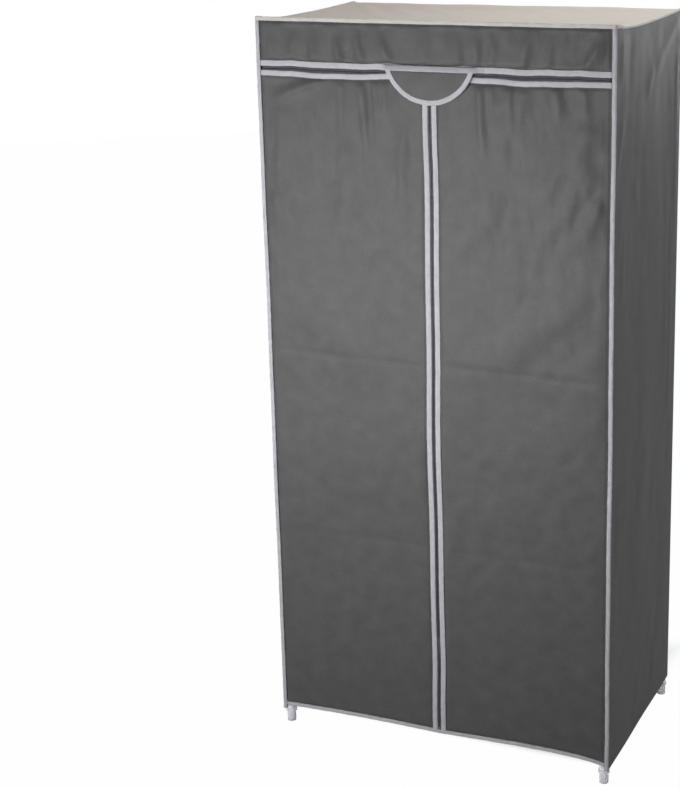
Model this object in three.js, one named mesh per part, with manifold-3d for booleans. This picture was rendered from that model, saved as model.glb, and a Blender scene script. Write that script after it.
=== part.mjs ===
// Portable fabric wardrobe: steel tubes in moulded connectors, under a zipped cloth cover.
// Millimetres, +Z up. The front faces -Y and the origin is on the floor, under the middle.
import * as THREE from 'three';
import { mergeVertices } from 'three/addons/utils/BufferGeometryUtils.js';
import Module from 'manifold-3d';

const wasm = await Module();
wasm.setup();

// Cloth cover
const coverWidth = 760;
const coverDepth = 450;
const coverHeight = 1560;
const clothThickness = 1.5;
const clothEase = 0.4;
const seamGap = 0.3;
const sideHemZ = 30;

// Bindings sewn round the edges of the cloth
const bindingProud = 1.2;
const bindingStep = 0.6;
const cornerBindingWidth = 9;
const cornerBindingFootZ = 33;
const doorBindingWidth = 12;
const doorTopBindingWidth = 9;
const headerBindingWidth = 12;
const hemBindingWidth = 8;
const roofBeadHeight = 6;
const roofBeadWidth = 4;

// Front opening: two doors closed by one upright zip and two level ones
const doorTopDrop = 101;
const levelZipGap = 6;
const uprightZipGap = 7;
const foldTopX = 300;
const foldDrop = 614;
const foldGap = 0.3;
const hemCornerZ = 41.5;
const hemMiddleRise = 4.2;
const hemArchRise = 8;

// Zip tapes and sliders
const tapeBridgeGap = 0.3;
const tapeThickness = 1.3;
const tapeDepth = 0.4;
const tapeRoot = 1.5;
const tapeTipCut = 7;
const tapeEndGap = 2;
const sliderLength = 12;
const sliderSideGap = 0.4;
const sliderPlate = 1.6;
const sliderFaceGap = 0.4;
const bridgeWidth = 1;
const bridgeLength = 7;
const uprightSliderDrop = 27;
const levelSliderX = 26;
const lugThickness = 0.9;
const lugLength = 3.4;
const pinRadius = 0.6;
const pinOffset = 2.1;
const hingeRise = 3.5;
const pullClearance = 0.3;
const pullBarrelWall = 0.8;
const pullThickness = 1.2;
const pullWidth = 4.6;
const pullLength = 22;
const pullNeckLength = 4;
const pullSlotLength = 8;
const pullSlotWidth = 1.8;

// D-shaped cloth tab over the meeting point of the zips
const tabHalfWidth = 95;
const tabDepth = 71;
const tabTopRise = 18;
const tabSpringRise = 8;
const tabBindingWidth = 10;
const tabBindingProud = 0.8;
const tabBendLength = 12;
const tabPullGap = 0.4;

// Steel tubes
const tubeRadius = 8;
const tubeWall = 0.8;
const swageLength = 30;
const swageTaper = 4;
const swageClearance = 0.3;
const postJointZ = 640;
const tubeEndGap = 0.3;

// Moulded connectors
const socketClearance = 0.3;
const socketWall = 1.4;
const socketFloor = 2.7;
const insertion = 25;
const hubSwell = 0.6;
const mouthBeadHeight = 0.5;
const mouthBeadLength = 3;
const mouthBeadRamp = 0.6;
const bottomRailZ = 62;
const shelfDrop = 331;
const legRadius = 9.6;
const legCollarRadius = 12;
const legCollarTopZ = 30;
const legCollarHeight = 6;
const legChamfer = 0.8;

// Hanging rail and the two hangers that carry it from the side rails
const hangingRailDrop = 42;
const hangerWidth = 18;
const hangerWebThickness = 8;
const hangerWebHalfWidthTop = 8;
const hangerWebHalfWidthFoot = 7;
const hangerCupReach = 22;
const hangerCupBack = 8;
const hangerCupFloor = 3;

// Cloth shelf with sleeves over the side rails
const shelfThickness = 1.2;
const shelfNotchGap = 1.5;

// Folds of the cloth: heights stand outwards
const doorRippleHeight = 1.4;
const doorRippleWidth = 118;
const doorRippleLean = 26;
const doorBillow = 1.2;
const headerRippleHeight = 1.3;
const headerRippleWidth = 96;
const sideBillow = 2.6;
const sidePleatHeight = 2.2;
const sidePleatWidth = 46;
const sidePleatReach = 120;
const sideCreaseHeight = 3.2;
const sideCreaseWidth = 22;
const sideCreaseReach = 260;
const sideCreaseDrop = 210;
const backBillow = 3.4;
const backPleatHeight = 1.6;
const backPleatWidth = 95;
const roofSag = 3;
const edgeFade = 45;
const foldFade = 60;

// Facets
const tubeSides = 12;
const pinSides = 8;
const tabArcSteps = 22;
const tabChordSteps = 6;
const overrun = 1;

// Sizes worked out from the ones above
const halfWidth = coverWidth / 2;
const halfDepth = coverDepth / 2;
const boreRadius = tubeRadius + socketClearance;
const socketRadius = boreRadius + socketWall;
const mouthRadius = socketRadius + mouthBeadHeight;
const hubRadius = socketRadius + hubSwell;
const socketStop = boreRadius + socketFloor;
const armLength = socketStop + insertion;
const tubeStart = socketStop + tubeEndGap;
const postInset = clothThickness + clothEase + hubRadius;
const postX = halfWidth - postInset;
const postY = halfDepth - postInset;
const topRailZ = coverHeight - postInset;
const wallTopZ = coverHeight - clothThickness - seamGap;
const frontPanelX = halfWidth - cornerBindingWidth - seamGap;
const doorTopZ = coverHeight - doorTopDrop;
const headerFootZ = doorTopZ + levelZipGap;
const foldBottomZ = doorTopZ - foldDrop;
const tabTopZ = doorTopZ + tabTopRise;
const tabSpringZ = doorTopZ + tabSpringRise;
const uprightSliderZ = doorTopZ - uprightSliderDrop;
const shelfRailZ = coverHeight - shelfDrop;
const hangingRailZ = shelfRailZ - hangingRailDrop;
const zipEdgeX = uprightZipGap / 2;
const tapeFaceY = -(halfDepth + tapeDepth);
const sliderFrontBackY = tapeFaceY - sliderFaceGap;
const sliderFrontY = sliderFrontBackY - sliderPlate;
const sliderRearFrontY = tapeFaceY + tapeThickness + sliderFaceGap;
const pinY = sliderFrontY - pinOffset;
const barrelRadius = pinRadius + pullClearance + pullBarrelWall;
const tabBackY = pinY - barrelRadius - tabPullGap;
const tabSeamY = -(halfDepth + bindingProud + seamGap);

// Colours
const clothGrey = 0x5b5b5d;
const roofGrey = 0xbdb6b0;
const tubeDark = 0x26262a;
const tubePale = 0xb9bbc0;
const plasticWhite = 0xe2e1ea;
const shelfDark = 0x232326;
const zipMetal = 0xa9abb0;

const upAxis = new THREE.Vector3(0, 0, 1);

// A three.js geometry as a closed solid for joining and cutting
function toSolid(geometry) {
  const bare = geometry.clone();
  bare.deleteAttribute('normal');
  bare.deleteAttribute('uv');
  const merged = mergeVertices(bare);
  const corners = merged.index.array;
  const faces = [];
  for (let i = 0; i < corners.length; i += 3) {
    const [a, b, c] = corners.slice(i, i + 3);
    if (a !== b && b !== c && c !== a) faces.push(a, b, c);
  }
  return new wasm.Manifold(new wasm.Mesh({
    numProp: 3,
    vertProperties: new Float32Array(merged.attributes.position.array),
    triVerts: new Uint32Array(faces),
  }));
}

function toGeometry(solid) {
  const mesh = solid.getMesh();
  const geometry = new THREE.BufferGeometry();
  geometry.setAttribute('position', new THREE.BufferAttribute(mesh.vertProperties, 3));
  geometry.setIndex(new THREE.BufferAttribute(mesh.triVerts, 1));
  geometry.computeVertexNormals();
  return geometry;
}

function joined(geometries) {
  return geometries.map(toSolid).reduce((whole, piece) => whole.add(piece));
}

function cutFrom(solid, geometries) {
  return geometries.map(toSolid).reduce((rest, piece) => rest.subtract(piece), solid);
}

// A turned form about Z from [radius, height] pairs
function turned(profile, sides = tubeSides) {
  const points = profile.map(([radius, along]) => new THREE.Vector2(radius, along));
  return new THREE.LatheGeometry(points, sides).rotateX(Math.PI / 2);
}

// A form made about +Z, aimed along another direction
function aimed(geometry, direction) {
  const turn = new THREE.Quaternion().setFromUnitVectors(upAxis, direction);
  return geometry.applyQuaternion(turn);
}

// A block between two opposite corners
function block(low, high) {
  const size = high.map((value, axis) => value - low[axis]);
  const middle = high.map((value, axis) => (value + low[axis]) / 2);
  return new THREE.BoxGeometry(...size).translate(...middle);
}

// An outline of [x, z] pairs, extruded along Y from fromY to toY
function extrudedAlongY(outline, fromY, toY, holes = []) {
  const shape = new THREE.Shape(outline.map(([x, z]) => new THREE.Vector2(x, z)));
  shape.holes = holes.map((hole) => new THREE.Path(hole.map(([x, z]) => new THREE.Vector2(x, z))));
  const geometry = new THREE.ExtrudeGeometry(shape, { depth: toY - fromY, bevelEnabled: false });
  return geometry.rotateX(Math.PI / 2).translate(0, toY, 0);
}

const smooth = (share) => {
  const held = Math.min(Math.max(share, 0), 1);
  return held * held * (3 - 2 * held);
};
const hump = (share) => Math.sin(Math.PI * Math.min(Math.max(share, 0), 1));
const ripple = (place, width) => 0.5 + 0.5 * Math.sin((2 * Math.PI * place) / width);
const between = (value, low, high) => value >= low && value <= high;
const evenly = (from, to, count) =>
  Array.from({ length: count + 1 }, (_, step) => from + ((to - from) * step) / count);

// Fades a fold out towards both ends of a stretch
const fadeEnds = (value, low, high) => smooth((value - low) / edgeFade) * smooth((high - value) / edgeFade);

// A closed skin from a grid of front and back points, seen from outside with u to the right
function skin(columns, rows, frontAt, backAt) {
  const positions = [];
  const faces = [];
  const number = (layer, i, j) => (layer * columns + i) * rows + j;
  for (const pointAt of [frontAt, backAt]) {
    for (let i = 0; i < columns; i += 1) {
      for (let j = 0; j < rows; j += 1) positions.push(...pointAt(i, j));
    }
  }
  const quad = (a, b, c, d) => faces.push(a, b, c, a, c, d);
  for (let i = 0; i + 1 < columns; i += 1) {
    for (let j = 0; j + 1 < rows; j += 1) {
      quad(number(0, i, j), number(0, i + 1, j), number(0, i + 1, j + 1), number(0, i, j + 1));
      quad(number(1, i, j), number(1, i, j + 1), number(1, i + 1, j + 1), number(1, i + 1, j));
    }
    quad(number(1, i, 0), number(1, i + 1, 0), number(0, i + 1, 0), number(0, i, 0));
    const last = rows - 1;
    quad(number(0, i, last), number(0, i + 1, last), number(1, i + 1, last), number(1, i, last));
  }
  for (let j = 0; j + 1 < rows; j += 1) {
    quad(number(0, 0, j), number(0, 0, j + 1), number(1, 0, j + 1), number(1, 0, j));
    const last = columns - 1;
    quad(number(1, last, j), number(1, last, j + 1), number(0, last, j + 1), number(0, last, j));
  }
  const geometry = new THREE.BufferGeometry();
  geometry.setAttribute('position', new THREE.Float32BufferAttribute(positions, 3));
  geometry.setIndex(faces);
  geometry.computeVertexNormals();
  return geometry;
}

// Where each wall of the cover stands: u runs right and v up, seen from outside
const walls = {
  front: (u, v, out) => [u, -(halfDepth + out), v],
  right: (u, v, out) => [halfWidth + out, u, v],
  left: (u, v, out) => [-(halfWidth + out), -u, v],
  back: (u, v, out) => [-u, halfDepth + out, v],
  roof: (u, v, out) => [u, v, coverHeight + out],
};

// A cloth panel of even thickness that follows its folds, with raised bindings
function clothPanel({ place, us, vsAt, fold, relief = () => 0 }) {
  const vs = us.map(vsAt);
  const outAt = (i, j) => fold(us[i], vs[i][j]);
  return skin(
    us.length,
    vs[0].length,
    (i, j) => place(us[i], vs[i][j], outAt(i, j) + relief(us[i], vs[i][j])),
    (i, j) => place(us[i], vs[i][j], outAt(i, j) - clothThickness),
  );
}

const wardrobe = new THREE.Group();

function addPiece(name, geometry, color, roughness, metalness = 0) {
  const material = new THREE.MeshStandardMaterial({ color, roughness, metalness });
  const mesh = new THREE.Mesh(geometry, material);
  mesh.name = name;
  wardrobe.add(mesh);
  return mesh;
}

const addCloth = (name, geometry) => addPiece(name, geometry, clothGrey, 0.9);
const addPlastic = (name, geometry) => addPiece(name, geometry, plasticWhite, 0.45);
const addTube = (name, geometry, color) => addPiece(name, geometry, color, 0.35, 0.6);

// Tubes
function plainTube(length) {
  const bore = tubeRadius - tubeWall;
  return turned([[bore, 0], [tubeRadius, 0], [tubeRadius, length], [bore, length], [bore, 0]]);
}

// A tube whose lower end is drawn in to plug into the tube below
function swagedTube(length) {
  const bore = tubeRadius - tubeWall;
  const plug = bore - swageClearance;
  const plugBore = plug - tubeWall;
  return turned([
    [plugBore, -swageLength],
    [plug, -swageLength],
    [plug, 0],
    [tubeRadius, swageTaper],
    [tubeRadius, length],
    [bore, length],
    [bore, swageTaper],
    [plugBore, 0],
    [plugBore, -swageLength],
  ]);
}

// Connectors
function connectorArm() {
  const beadStart = armLength - mouthBeadLength;
  return turned([
    [0, 0],
    [socketRadius, 0],
    [socketRadius, beadStart],
    [mouthRadius, beadStart + mouthBeadRamp],
    [mouthRadius, armLength],
    [0, armLength],
  ]);
}

function socketBore() {
  return turned([
    [0, socketStop],
    [boreRadius, socketStop],
    [boreRadius, armLength + overrun],
    [0, armLength + overrun],
  ]);
}

// The leg under a bottom connector, with a collar, down to the floor
function footLeg() {
  const collarTop = bottomRailZ - legCollarTopZ;
  const collarFoot = collarTop + legCollarHeight;
  return turned([
    [0, 0],
    [legRadius, 0],
    [legRadius, collarTop],
    [legCollarRadius, collarTop + legChamfer],
    [legCollarRadius, collarFoot - legChamfer],
    [legRadius, collarFoot],
    [legRadius, bottomRailZ - legChamfer],
    [legRadius - legChamfer, bottomRailZ],
    [0, bottomRailZ],
  ]);
}

function connector(directions, leg = false) {
  const hub = new THREE.SphereGeometry(hubRadius, tubeSides, tubeSides / 2).rotateX(Math.PI / 2);
  const outer = [hub, ...directions.map((direction) => aimed(connectorArm(), direction))];
  if (leg) outer.push(aimed(footLeg(), new THREE.Vector3(0, 0, -1)));
  const bores = directions.map((direction) => aimed(socketBore(), direction));
  return toGeometry(cutFrom(joined(outer), bores));
}

const corners = [
  { name: 'front_left', sx: -1, sy: -1 },
  { name: 'front_right', sx: 1, sy: -1 },
  { name: 'back_left', sx: -1, sy: 1 },
  { name: 'back_right', sx: 1, sy: 1 },
];

const up = new THREE.Vector3(0, 0, 1);
const down = new THREE.Vector3(0, 0, -1);

for (const { name, sx, sy } of corners) {
  const inwards = [new THREE.Vector3(-sx, 0, 0), new THREE.Vector3(0, -sy, 0)];
  const bottom = addPlastic(`bottom_connector_${name}`, connector([...inwards, up], true));
  bottom.position.set(sx * postX, sy * postY, bottomRailZ);
  const middle = addPlastic(`shelf_connector_${name}`, connector([...inwards, up, down]));
  middle.position.set(sx * postX, sy * postY, shelfRailZ);
  const top = addPlastic(`top_connector_${name}`, connector([...inwards, down]));
  top.position.set(sx * postX, sy * postY, topRailZ);

  const lowerFoot = bottomRailZ + tubeStart;
  const lower = addTube(`post_lower_${name}`, plainTube(postJointZ - lowerFoot), tubeDark);
  lower.position.set(sx * postX, sy * postY, lowerFoot);
  const middleFoot = postJointZ + tubeEndGap;
  const middleTop = shelfRailZ - tubeStart;
  const swaged = addTube(`post_middle_${name}`, swagedTube(middleTop - middleFoot), tubeDark);
  swaged.position.set(sx * postX, sy * postY, middleFoot);
  const upperFoot = shelfRailZ + tubeStart;
  const upper = addTube(`post_upper_${name}`, plainTube(topRailZ - tubeStart - upperFoot), tubeDark);
  upper.position.set(sx * postX, sy * postY, upperFoot);
}

// A level tube between two sockets that face each other
function addRail(name, along, length, place, color) {
  const rail = addTube(name, plainTube(length), color);
  rail.quaternion.setFromUnitVectors(upAxis, along);
  rail.position.copy(place).addScaledVector(along, -length / 2);
}

const alongX = new THREE.Vector3(1, 0, 0);
const alongY = new THREE.Vector3(0, 1, 0);
const levels = [
  { level: 'bottom', z: bottomRailZ, acrossColor: tubeDark },
  { level: 'shelf', z: shelfRailZ, acrossColor: tubePale },
  { level: 'top', z: topRailZ, acrossColor: tubeDark },
];

for (const { level, z, acrossColor } of levels) {
  const across = 2 * (postX - tubeStart);
  const deep = 2 * (postY - tubeStart);
  addRail(`${level}_rail_front`, alongX, across, new THREE.Vector3(0, -postY, z), acrossColor);
  addRail(`${level}_rail_back`, alongX, across, new THREE.Vector3(0, postY, z), acrossColor);
  addRail(`${level}_rail_left`, alongY, deep, new THREE.Vector3(-postX, 0, z), tubeDark);
  addRail(`${level}_rail_right`, alongY, deep, new THREE.Vector3(postX, 0, z), tubeDark);
}

// A hanger: a ring on the side rail, a web down from it and a cup for the hanging rail
const cupStop = hangerCupBack - hangerCupFloor;

function railHanger(side) {
  const inward = new THREE.Vector3(-side, 0, 0);
  const ring = turned([
    [0, -hangerWidth / 2],
    [socketRadius, -hangerWidth / 2],
    [socketRadius, hangerWidth / 2],
    [0, hangerWidth / 2],
  ]);
  const web = extrudedAlongY(
    [
      [-hangerWebHalfWidthFoot, -hangingRailDrop],
      [hangerWebHalfWidthFoot, -hangingRailDrop],
      [hangerWebHalfWidthTop, 0],
      [-hangerWebHalfWidthTop, 0],
    ],
    -hangerWebThickness / 2,
    hangerWebThickness / 2,
  ).rotateZ(Math.PI / 2);
  const cup = turned([
    [0, -hangerCupBack],
    [socketRadius, -hangerCupBack],
    [socketRadius, hangerCupReach - mouthBeadLength],
    [mouthRadius, hangerCupReach - mouthBeadLength + mouthBeadRamp],
    [mouthRadius, hangerCupReach],
    [0, hangerCupReach],
  ]);
  const cupBore = turned([
    [0, -cupStop],
    [boreRadius, -cupStop],
    [boreRadius, hangerCupReach + overrun],
    [0, hangerCupReach + overrun],
  ]);
  const ringBore = turned([
    [0, -hangerWidth / 2 - overrun],
    [boreRadius, -hangerWidth / 2 - overrun],
    [boreRadius, hangerWidth / 2 + overrun],
    [0, hangerWidth / 2 + overrun],
  ]);
  const outer = [
    aimed(ring, alongY),
    web,
    aimed(cup, inward).translate(0, 0, -hangingRailDrop),
  ];
  const cuts = [aimed(ringBore, alongY), aimed(cupBore, inward).translate(0, 0, -hangingRailDrop)];
  return toGeometry(cutFrom(joined(outer), cuts));
}

for (const [name, side] of [['left', -1], ['right', 1]]) {
  addPlastic(`rail_hanger_${name}`, railHanger(side)).position.set(side * postX, 0, shelfRailZ);
}
const hangingRailLength = 2 * (postX + cupStop - tubeEndGap);
const hangingRailPlace = new THREE.Vector3(0, 0, hangingRailZ);
addRail('hanging_rail', alongX, hangingRailLength, hangingRailPlace, tubePale);

// Shelf: a cloth sheet over the front and back rails, with open sleeves round the side rails
function shelfGeometry() {
  const sleeveRadius = boreRadius + shelfThickness;
  const sleeveEndY = postY - armLength - shelfNotchGap;
  const sleeveStartY = hangerWidth / 2 + shelfNotchGap;
  const sheetX = postX + boreRadius / 2;
  const cornerX = postX - armLength - shelfNotchGap;
  const notchX = postX - mouthRadius - shelfNotchGap;
  const frontY = postY + tubeRadius;
  const quarter = [
    [sheetX, sleeveStartY],
    [sheetX, sleeveEndY],
    [cornerX, sleeveEndY],
    [cornerX, frontY],
  ];
  const halfRight = [
    [cornerX, -frontY],
    [cornerX, -sleeveEndY],
    [sheetX, -sleeveEndY],
    [sheetX, -sleeveStartY],
    [notchX, -sleeveStartY],
    [notchX, sleeveStartY],
    ...quarter,
  ];
  const halfLeft = halfRight.map(([x, y]) => [-x, -y]);
  const outline = new THREE.Shape([...halfRight, ...halfLeft].map(([x, y]) => new THREE.Vector2(x, y)));
  const sheet = new THREE.ExtrudeGeometry(outline, { depth: shelfThickness, bevelEnabled: false });
  const pieces = [sheet.translate(0, 0, boreRadius)];
  for (const sx of [-1, 1]) {
    for (const sy of [-1, 1]) {
      const sleeve = turned([
        [boreRadius, sleeveStartY],
        [sleeveRadius, sleeveStartY],
        [sleeveRadius, sleeveEndY],
        [boreRadius, sleeveEndY],
        [boreRadius, sleeveStartY],
      ]);
      pieces.push(aimed(sleeve, new THREE.Vector3(0, sy, 0)).translate(sx * postX, 0, 0));
    }
  }
  return toGeometry(joined(pieces));
}

addPiece('shelf', shelfGeometry(), shelfDark, 0.9).position.z = shelfRailZ;

// Side walls: pleats run down the rear edge and a crease runs down from the top rear corner
function sideFold(fromRear, v) {
  const across = fadeEnds(fromRear, 0, coverDepth);
  const upright = fadeEnds(v, sideHemZ, wallTopZ);
  const billow = sideBillow * hump(fromRear / coverDepth) * hump((v - sideHemZ) / (wallTopZ - sideHemZ));
  const pleats = sidePleatHeight * ripple(fromRear, sidePleatWidth) * smooth(1 - fromRear / sidePleatReach);
  const drop = wallTopZ - v;
  const creaseShare = fromRear / sideCreaseReach;
  const offLine = drop - creaseShare * sideCreaseDrop;
  const crease = sideCreaseHeight * Math.exp(-((offLine / sideCreaseWidth) ** 2)) * (1 - smooth(creaseShare));
  return across * upright * (billow + pleats) + smooth(drop / edgeFade) * across * crease;
}

const sideColumns = 10;
const sideRows = 14;
const sideTopRows = 5;
const sideBackY = halfDepth - clothThickness - seamGap;
const frontFaceY = -(halfDepth + bindingProud);

function sideWall(side) {
  const creaseFootZ = wallTopZ - sideCreaseDrop;
  const vs = [
    ...evenly(sideHemZ, creaseFootZ, sideRows - sideTopRows),
    ...evenly(creaseFootZ, wallTopZ, sideTopRows).slice(1),
  ];
  const ends = side > 0 ? [frontFaceY, sideBackY] : [-sideBackY, -frontFaceY];
  const panel = clothPanel({
    place: side > 0 ? walls.right : walls.left,
    us: evenly(...ends, sideColumns),
    vsAt: () => vs,
    fold: (u, v) => sideFold(side > 0 ? sideBackY - u : sideBackY + u, v),
  });
  const edges = [side * halfWidth, side * (halfWidth - cornerBindingWidth)].sort((a, b) => a - b);
  const binding = block(
    [edges[0], frontFaceY, cornerBindingFootZ],
    [edges[1], clothThickness - halfDepth, wallTopZ],
  );
  return toGeometry(joined([panel, binding]));
}

addCloth('cover_side_left', sideWall(-1));
addCloth('cover_side_right', sideWall(1));

// Back wall
const backColumns = 16;
const backRows = 8;

function backFold(u, v) {
  const inside = fadeEnds(u, -halfWidth, halfWidth) * fadeEnds(v, sideHemZ, wallTopZ);
  const risen = (v - sideHemZ) / (wallTopZ - sideHemZ);
  const billow = backBillow * hump((u + halfWidth) / coverWidth) * hump(risen);
  return inside * (billow + backPleatHeight * ripple(u, backPleatWidth));
}

addCloth('cover_back', clothPanel({
  place: walls.back,
  us: evenly(-halfWidth, halfWidth, backColumns),
  vsAt: () => evenly(sideHemZ, wallTopZ, backRows),
  fold: backFold,
}));

// Roof, with a bound seam standing up along the front and side edges
const roofColumns = 6;
const roofRows = 5;

function roofGeometry() {
  const beadX = halfWidth - roofBeadWidth;
  const beadY = frontFaceY + roofBeadWidth;
  const stepX = beadX - bindingStep;
  const stepY = beadY + bindingStep;
  const inFrame = (u, v) => fadeEnds(u, -postX + tubeRadius, postX - tubeRadius)
    * fadeEnds(v, -postY + tubeRadius, postY - tubeRadius);
  return clothPanel({
    place: walls.roof,
    us: [-halfWidth, -beadX, ...evenly(-stepX, stepX, roofColumns), beadX, halfWidth],
    vsAt: () => [frontFaceY, beadY, ...evenly(stepY, halfDepth, roofRows)],
    fold: (u, v) => -roofSag * inFrame(u, v),
    relief: (u, v) => (Math.abs(u) >= beadX || v <= beadY ? roofBeadHeight : 0),
  });
}

addPiece('cover_roof', roofGeometry(), roofGrey, 0.9);

// Tapes of the zips: narrow strips that stand out of a sewn edge towards the slider
const tapeReach = (zipGap) => (zipGap - bridgeWidth) / 2 - tapeBridgeGap;
const tapeBackY = tapeFaceY + tapeThickness;
const tapeStopZ = uprightSliderZ - sliderLength / 2 - tapeEndGap;
const tapeStopX = levelSliderX + sliderLength / 2 + tapeEndGap;
const hemCentreTopZ = hemCornerZ + hemMiddleRise + hemBindingWidth;

// Header above the doors
const headerColumns = 16;
const headerRows = 4;

function headerGeometry() {
  const bindingTop = headerFootZ + headerBindingWidth;
  const panel = clothPanel({
    place: walls.front,
    us: evenly(-frontPanelX, frontPanelX, headerColumns),
    vsAt: () => [headerFootZ, bindingTop, ...evenly(bindingTop + bindingStep, wallTopZ, headerRows)],
    fold: (u, v) => headerRippleHeight * ripple(u, headerRippleWidth)
      * hump((v - bindingTop) / (wallTopZ - bindingTop)) * fadeEnds(u, -frontPanelX, frontPanelX),
    relief: (u, v) => (v <= bindingTop ? bindingProud : 0),
  });
  const tapes = [-1, 1].map((side) => {
    const edges = [side * tapeStopX, side * (frontPanelX - tapeEndGap)].sort((a, b) => a - b);
    return block(
      [edges[0], tapeFaceY, headerFootZ - tapeReach(levelZipGap)],
      [edges[1], tapeBackY, headerFootZ + tapeRoot],
    );
  });
  return toGeometry(joined([panel, ...tapes]));
}

addCloth('cover_header', headerGeometry());

// Hem binding across the foot of the doors, low at the corners and the middle
const hemSteps = 18;

function hemFootZ(x) {
  const share = Math.min((frontPanelX - Math.abs(x)) / (frontPanelX - zipEdgeX), 1);
  return hemCornerZ + hemMiddleRise * share + hemArchRise * hump(share);
}

addCloth('cover_front_hem', clothPanel({
  place: walls.front,
  us: evenly(-frontPanelX, frontPanelX, hemSteps),
  vsAt: (u) => [hemFootZ(u), hemFootZ(u) + hemBindingWidth],
  fold: () => 0,
  relief: () => bindingProud,
}));

// Doors: each is cut along the slanting line where its upper corner folds back
const doorColumns = 9;
const doorRows = 12;
const foldRun = new THREE.Vector2(zipEdgeX - foldTopX, foldBottomZ - doorTopZ).normalize();
const foldOut = new THREE.Vector2(foldRun.y, -foldRun.x);

// Distance from the fold line, positive towards the corner that folds
function fromFoldLine(x, z) {
  return (x - foldTopX) * foldOut.x + (z - doorTopZ) * foldOut.y;
}

function doorFold(x, z, phase) {
  const upper = smooth((z - foldBottomZ / 2) / (doorTopZ - foldBottomZ));
  const edges = fadeEnds(x, zipEdgeX + doorBindingWidth, frontPanelX) * fadeEnds(z, hemCentreTopZ, doorTopZ);
  const place = x + (doorRippleLean * z) / foldBottomZ + phase;
  const ripples = doorRippleHeight * ripple(place, doorRippleWidth) * upper;
  const billow = doorBillow * hump((z - hemCentreTopZ) / (doorTopZ - hemCentreTopZ));
  return edges * smooth(Math.abs(fromFoldLine(x, z)) / foldFade) * (ripples + billow);
}

// The right-hand door, complete; the left-hand one is its mirror image with other ripples
function wholeDoor(phase) {
  const bindingX = zipEdgeX + doorBindingWidth;
  const bindingZ = doorTopZ - doorTopBindingWidth;
  const panel = clothPanel({
    place: walls.front,
    us: [zipEdgeX, bindingX, ...evenly(bindingX + bindingStep, frontPanelX, doorColumns)],
    vsAt: (u) => [
      ...evenly(hemFootZ(u) + hemBindingWidth + seamGap, bindingZ - bindingStep, doorRows),
      bindingZ,
      doorTopZ,
    ],
    fold: (u, v) => doorFold(u, v, phase),
    relief: (u, v) => (u <= bindingX || v >= bindingZ ? bindingProud : 0),
  });
  const uprightTape = (fromZ, toZ) => block(
    [zipEdgeX - tapeReach(uprightZipGap), tapeFaceY, fromZ],
    [zipEdgeX + tapeRoot, tapeBackY, toZ],
  );
  const levelTape = block(
    [tapeStopX, tapeFaceY, doorTopZ - tapeRoot],
    [frontPanelX - tapeEndGap, tapeBackY, doorTopZ + tapeReach(levelZipGap)],
  );
  return joined([
    panel,
    uprightTape(hemCentreTopZ + tapeEndGap, foldBottomZ - tapeTipCut),
    uprightTape(foldBottomZ + tapeTipCut, tapeStopZ),
    levelTape,
  ]);
}

// A prism on the folding side of the line, set back from it by an offset
function foldPrism(offset) {
  const reach = doorTopZ;
  const onLine = (along, out) => [
    foldTopX + foldRun.x * along + foldOut.x * out,
    doorTopZ + foldRun.y * along + foldOut.y * out,
  ];
  return extrudedAlongY(
    [onLine(-reach, offset), onLine(reach, offset), onLine(reach, reach), onLine(-reach, reach)],
    -coverDepth,
    0,
  );
}

function mirroredX(geometry) {
  const mirrored = geometry.clone().scale(-1, 1, 1);
  const order = mirrored.index.array;
  for (let i = 0; i < order.length; i += 3) {
    [order[i], order[i + 1]] = [order[i + 1], order[i]];
  }
  mirrored.computeVertexNormals();
  return mirrored;
}

const doorPhases = { left: doorRippleWidth / 3, right: 0 };
for (const [side, phase] of Object.entries(doorPhases)) {
  const door = wholeDoor(phase);
  const flap = toGeometry(door.intersect(toSolid(foldPrism(foldGap / 2))));
  const panel = toGeometry(door.subtract(toSolid(foldPrism(-foldGap / 2))));
  const turnedTo = (geometry) => (side === 'left' ? mirroredX(geometry) : geometry);
  addCloth(`door_${side}_panel`, turnedTo(panel));
  addCloth(`door_${side}_flap`, turnedTo(flap));
}

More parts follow.
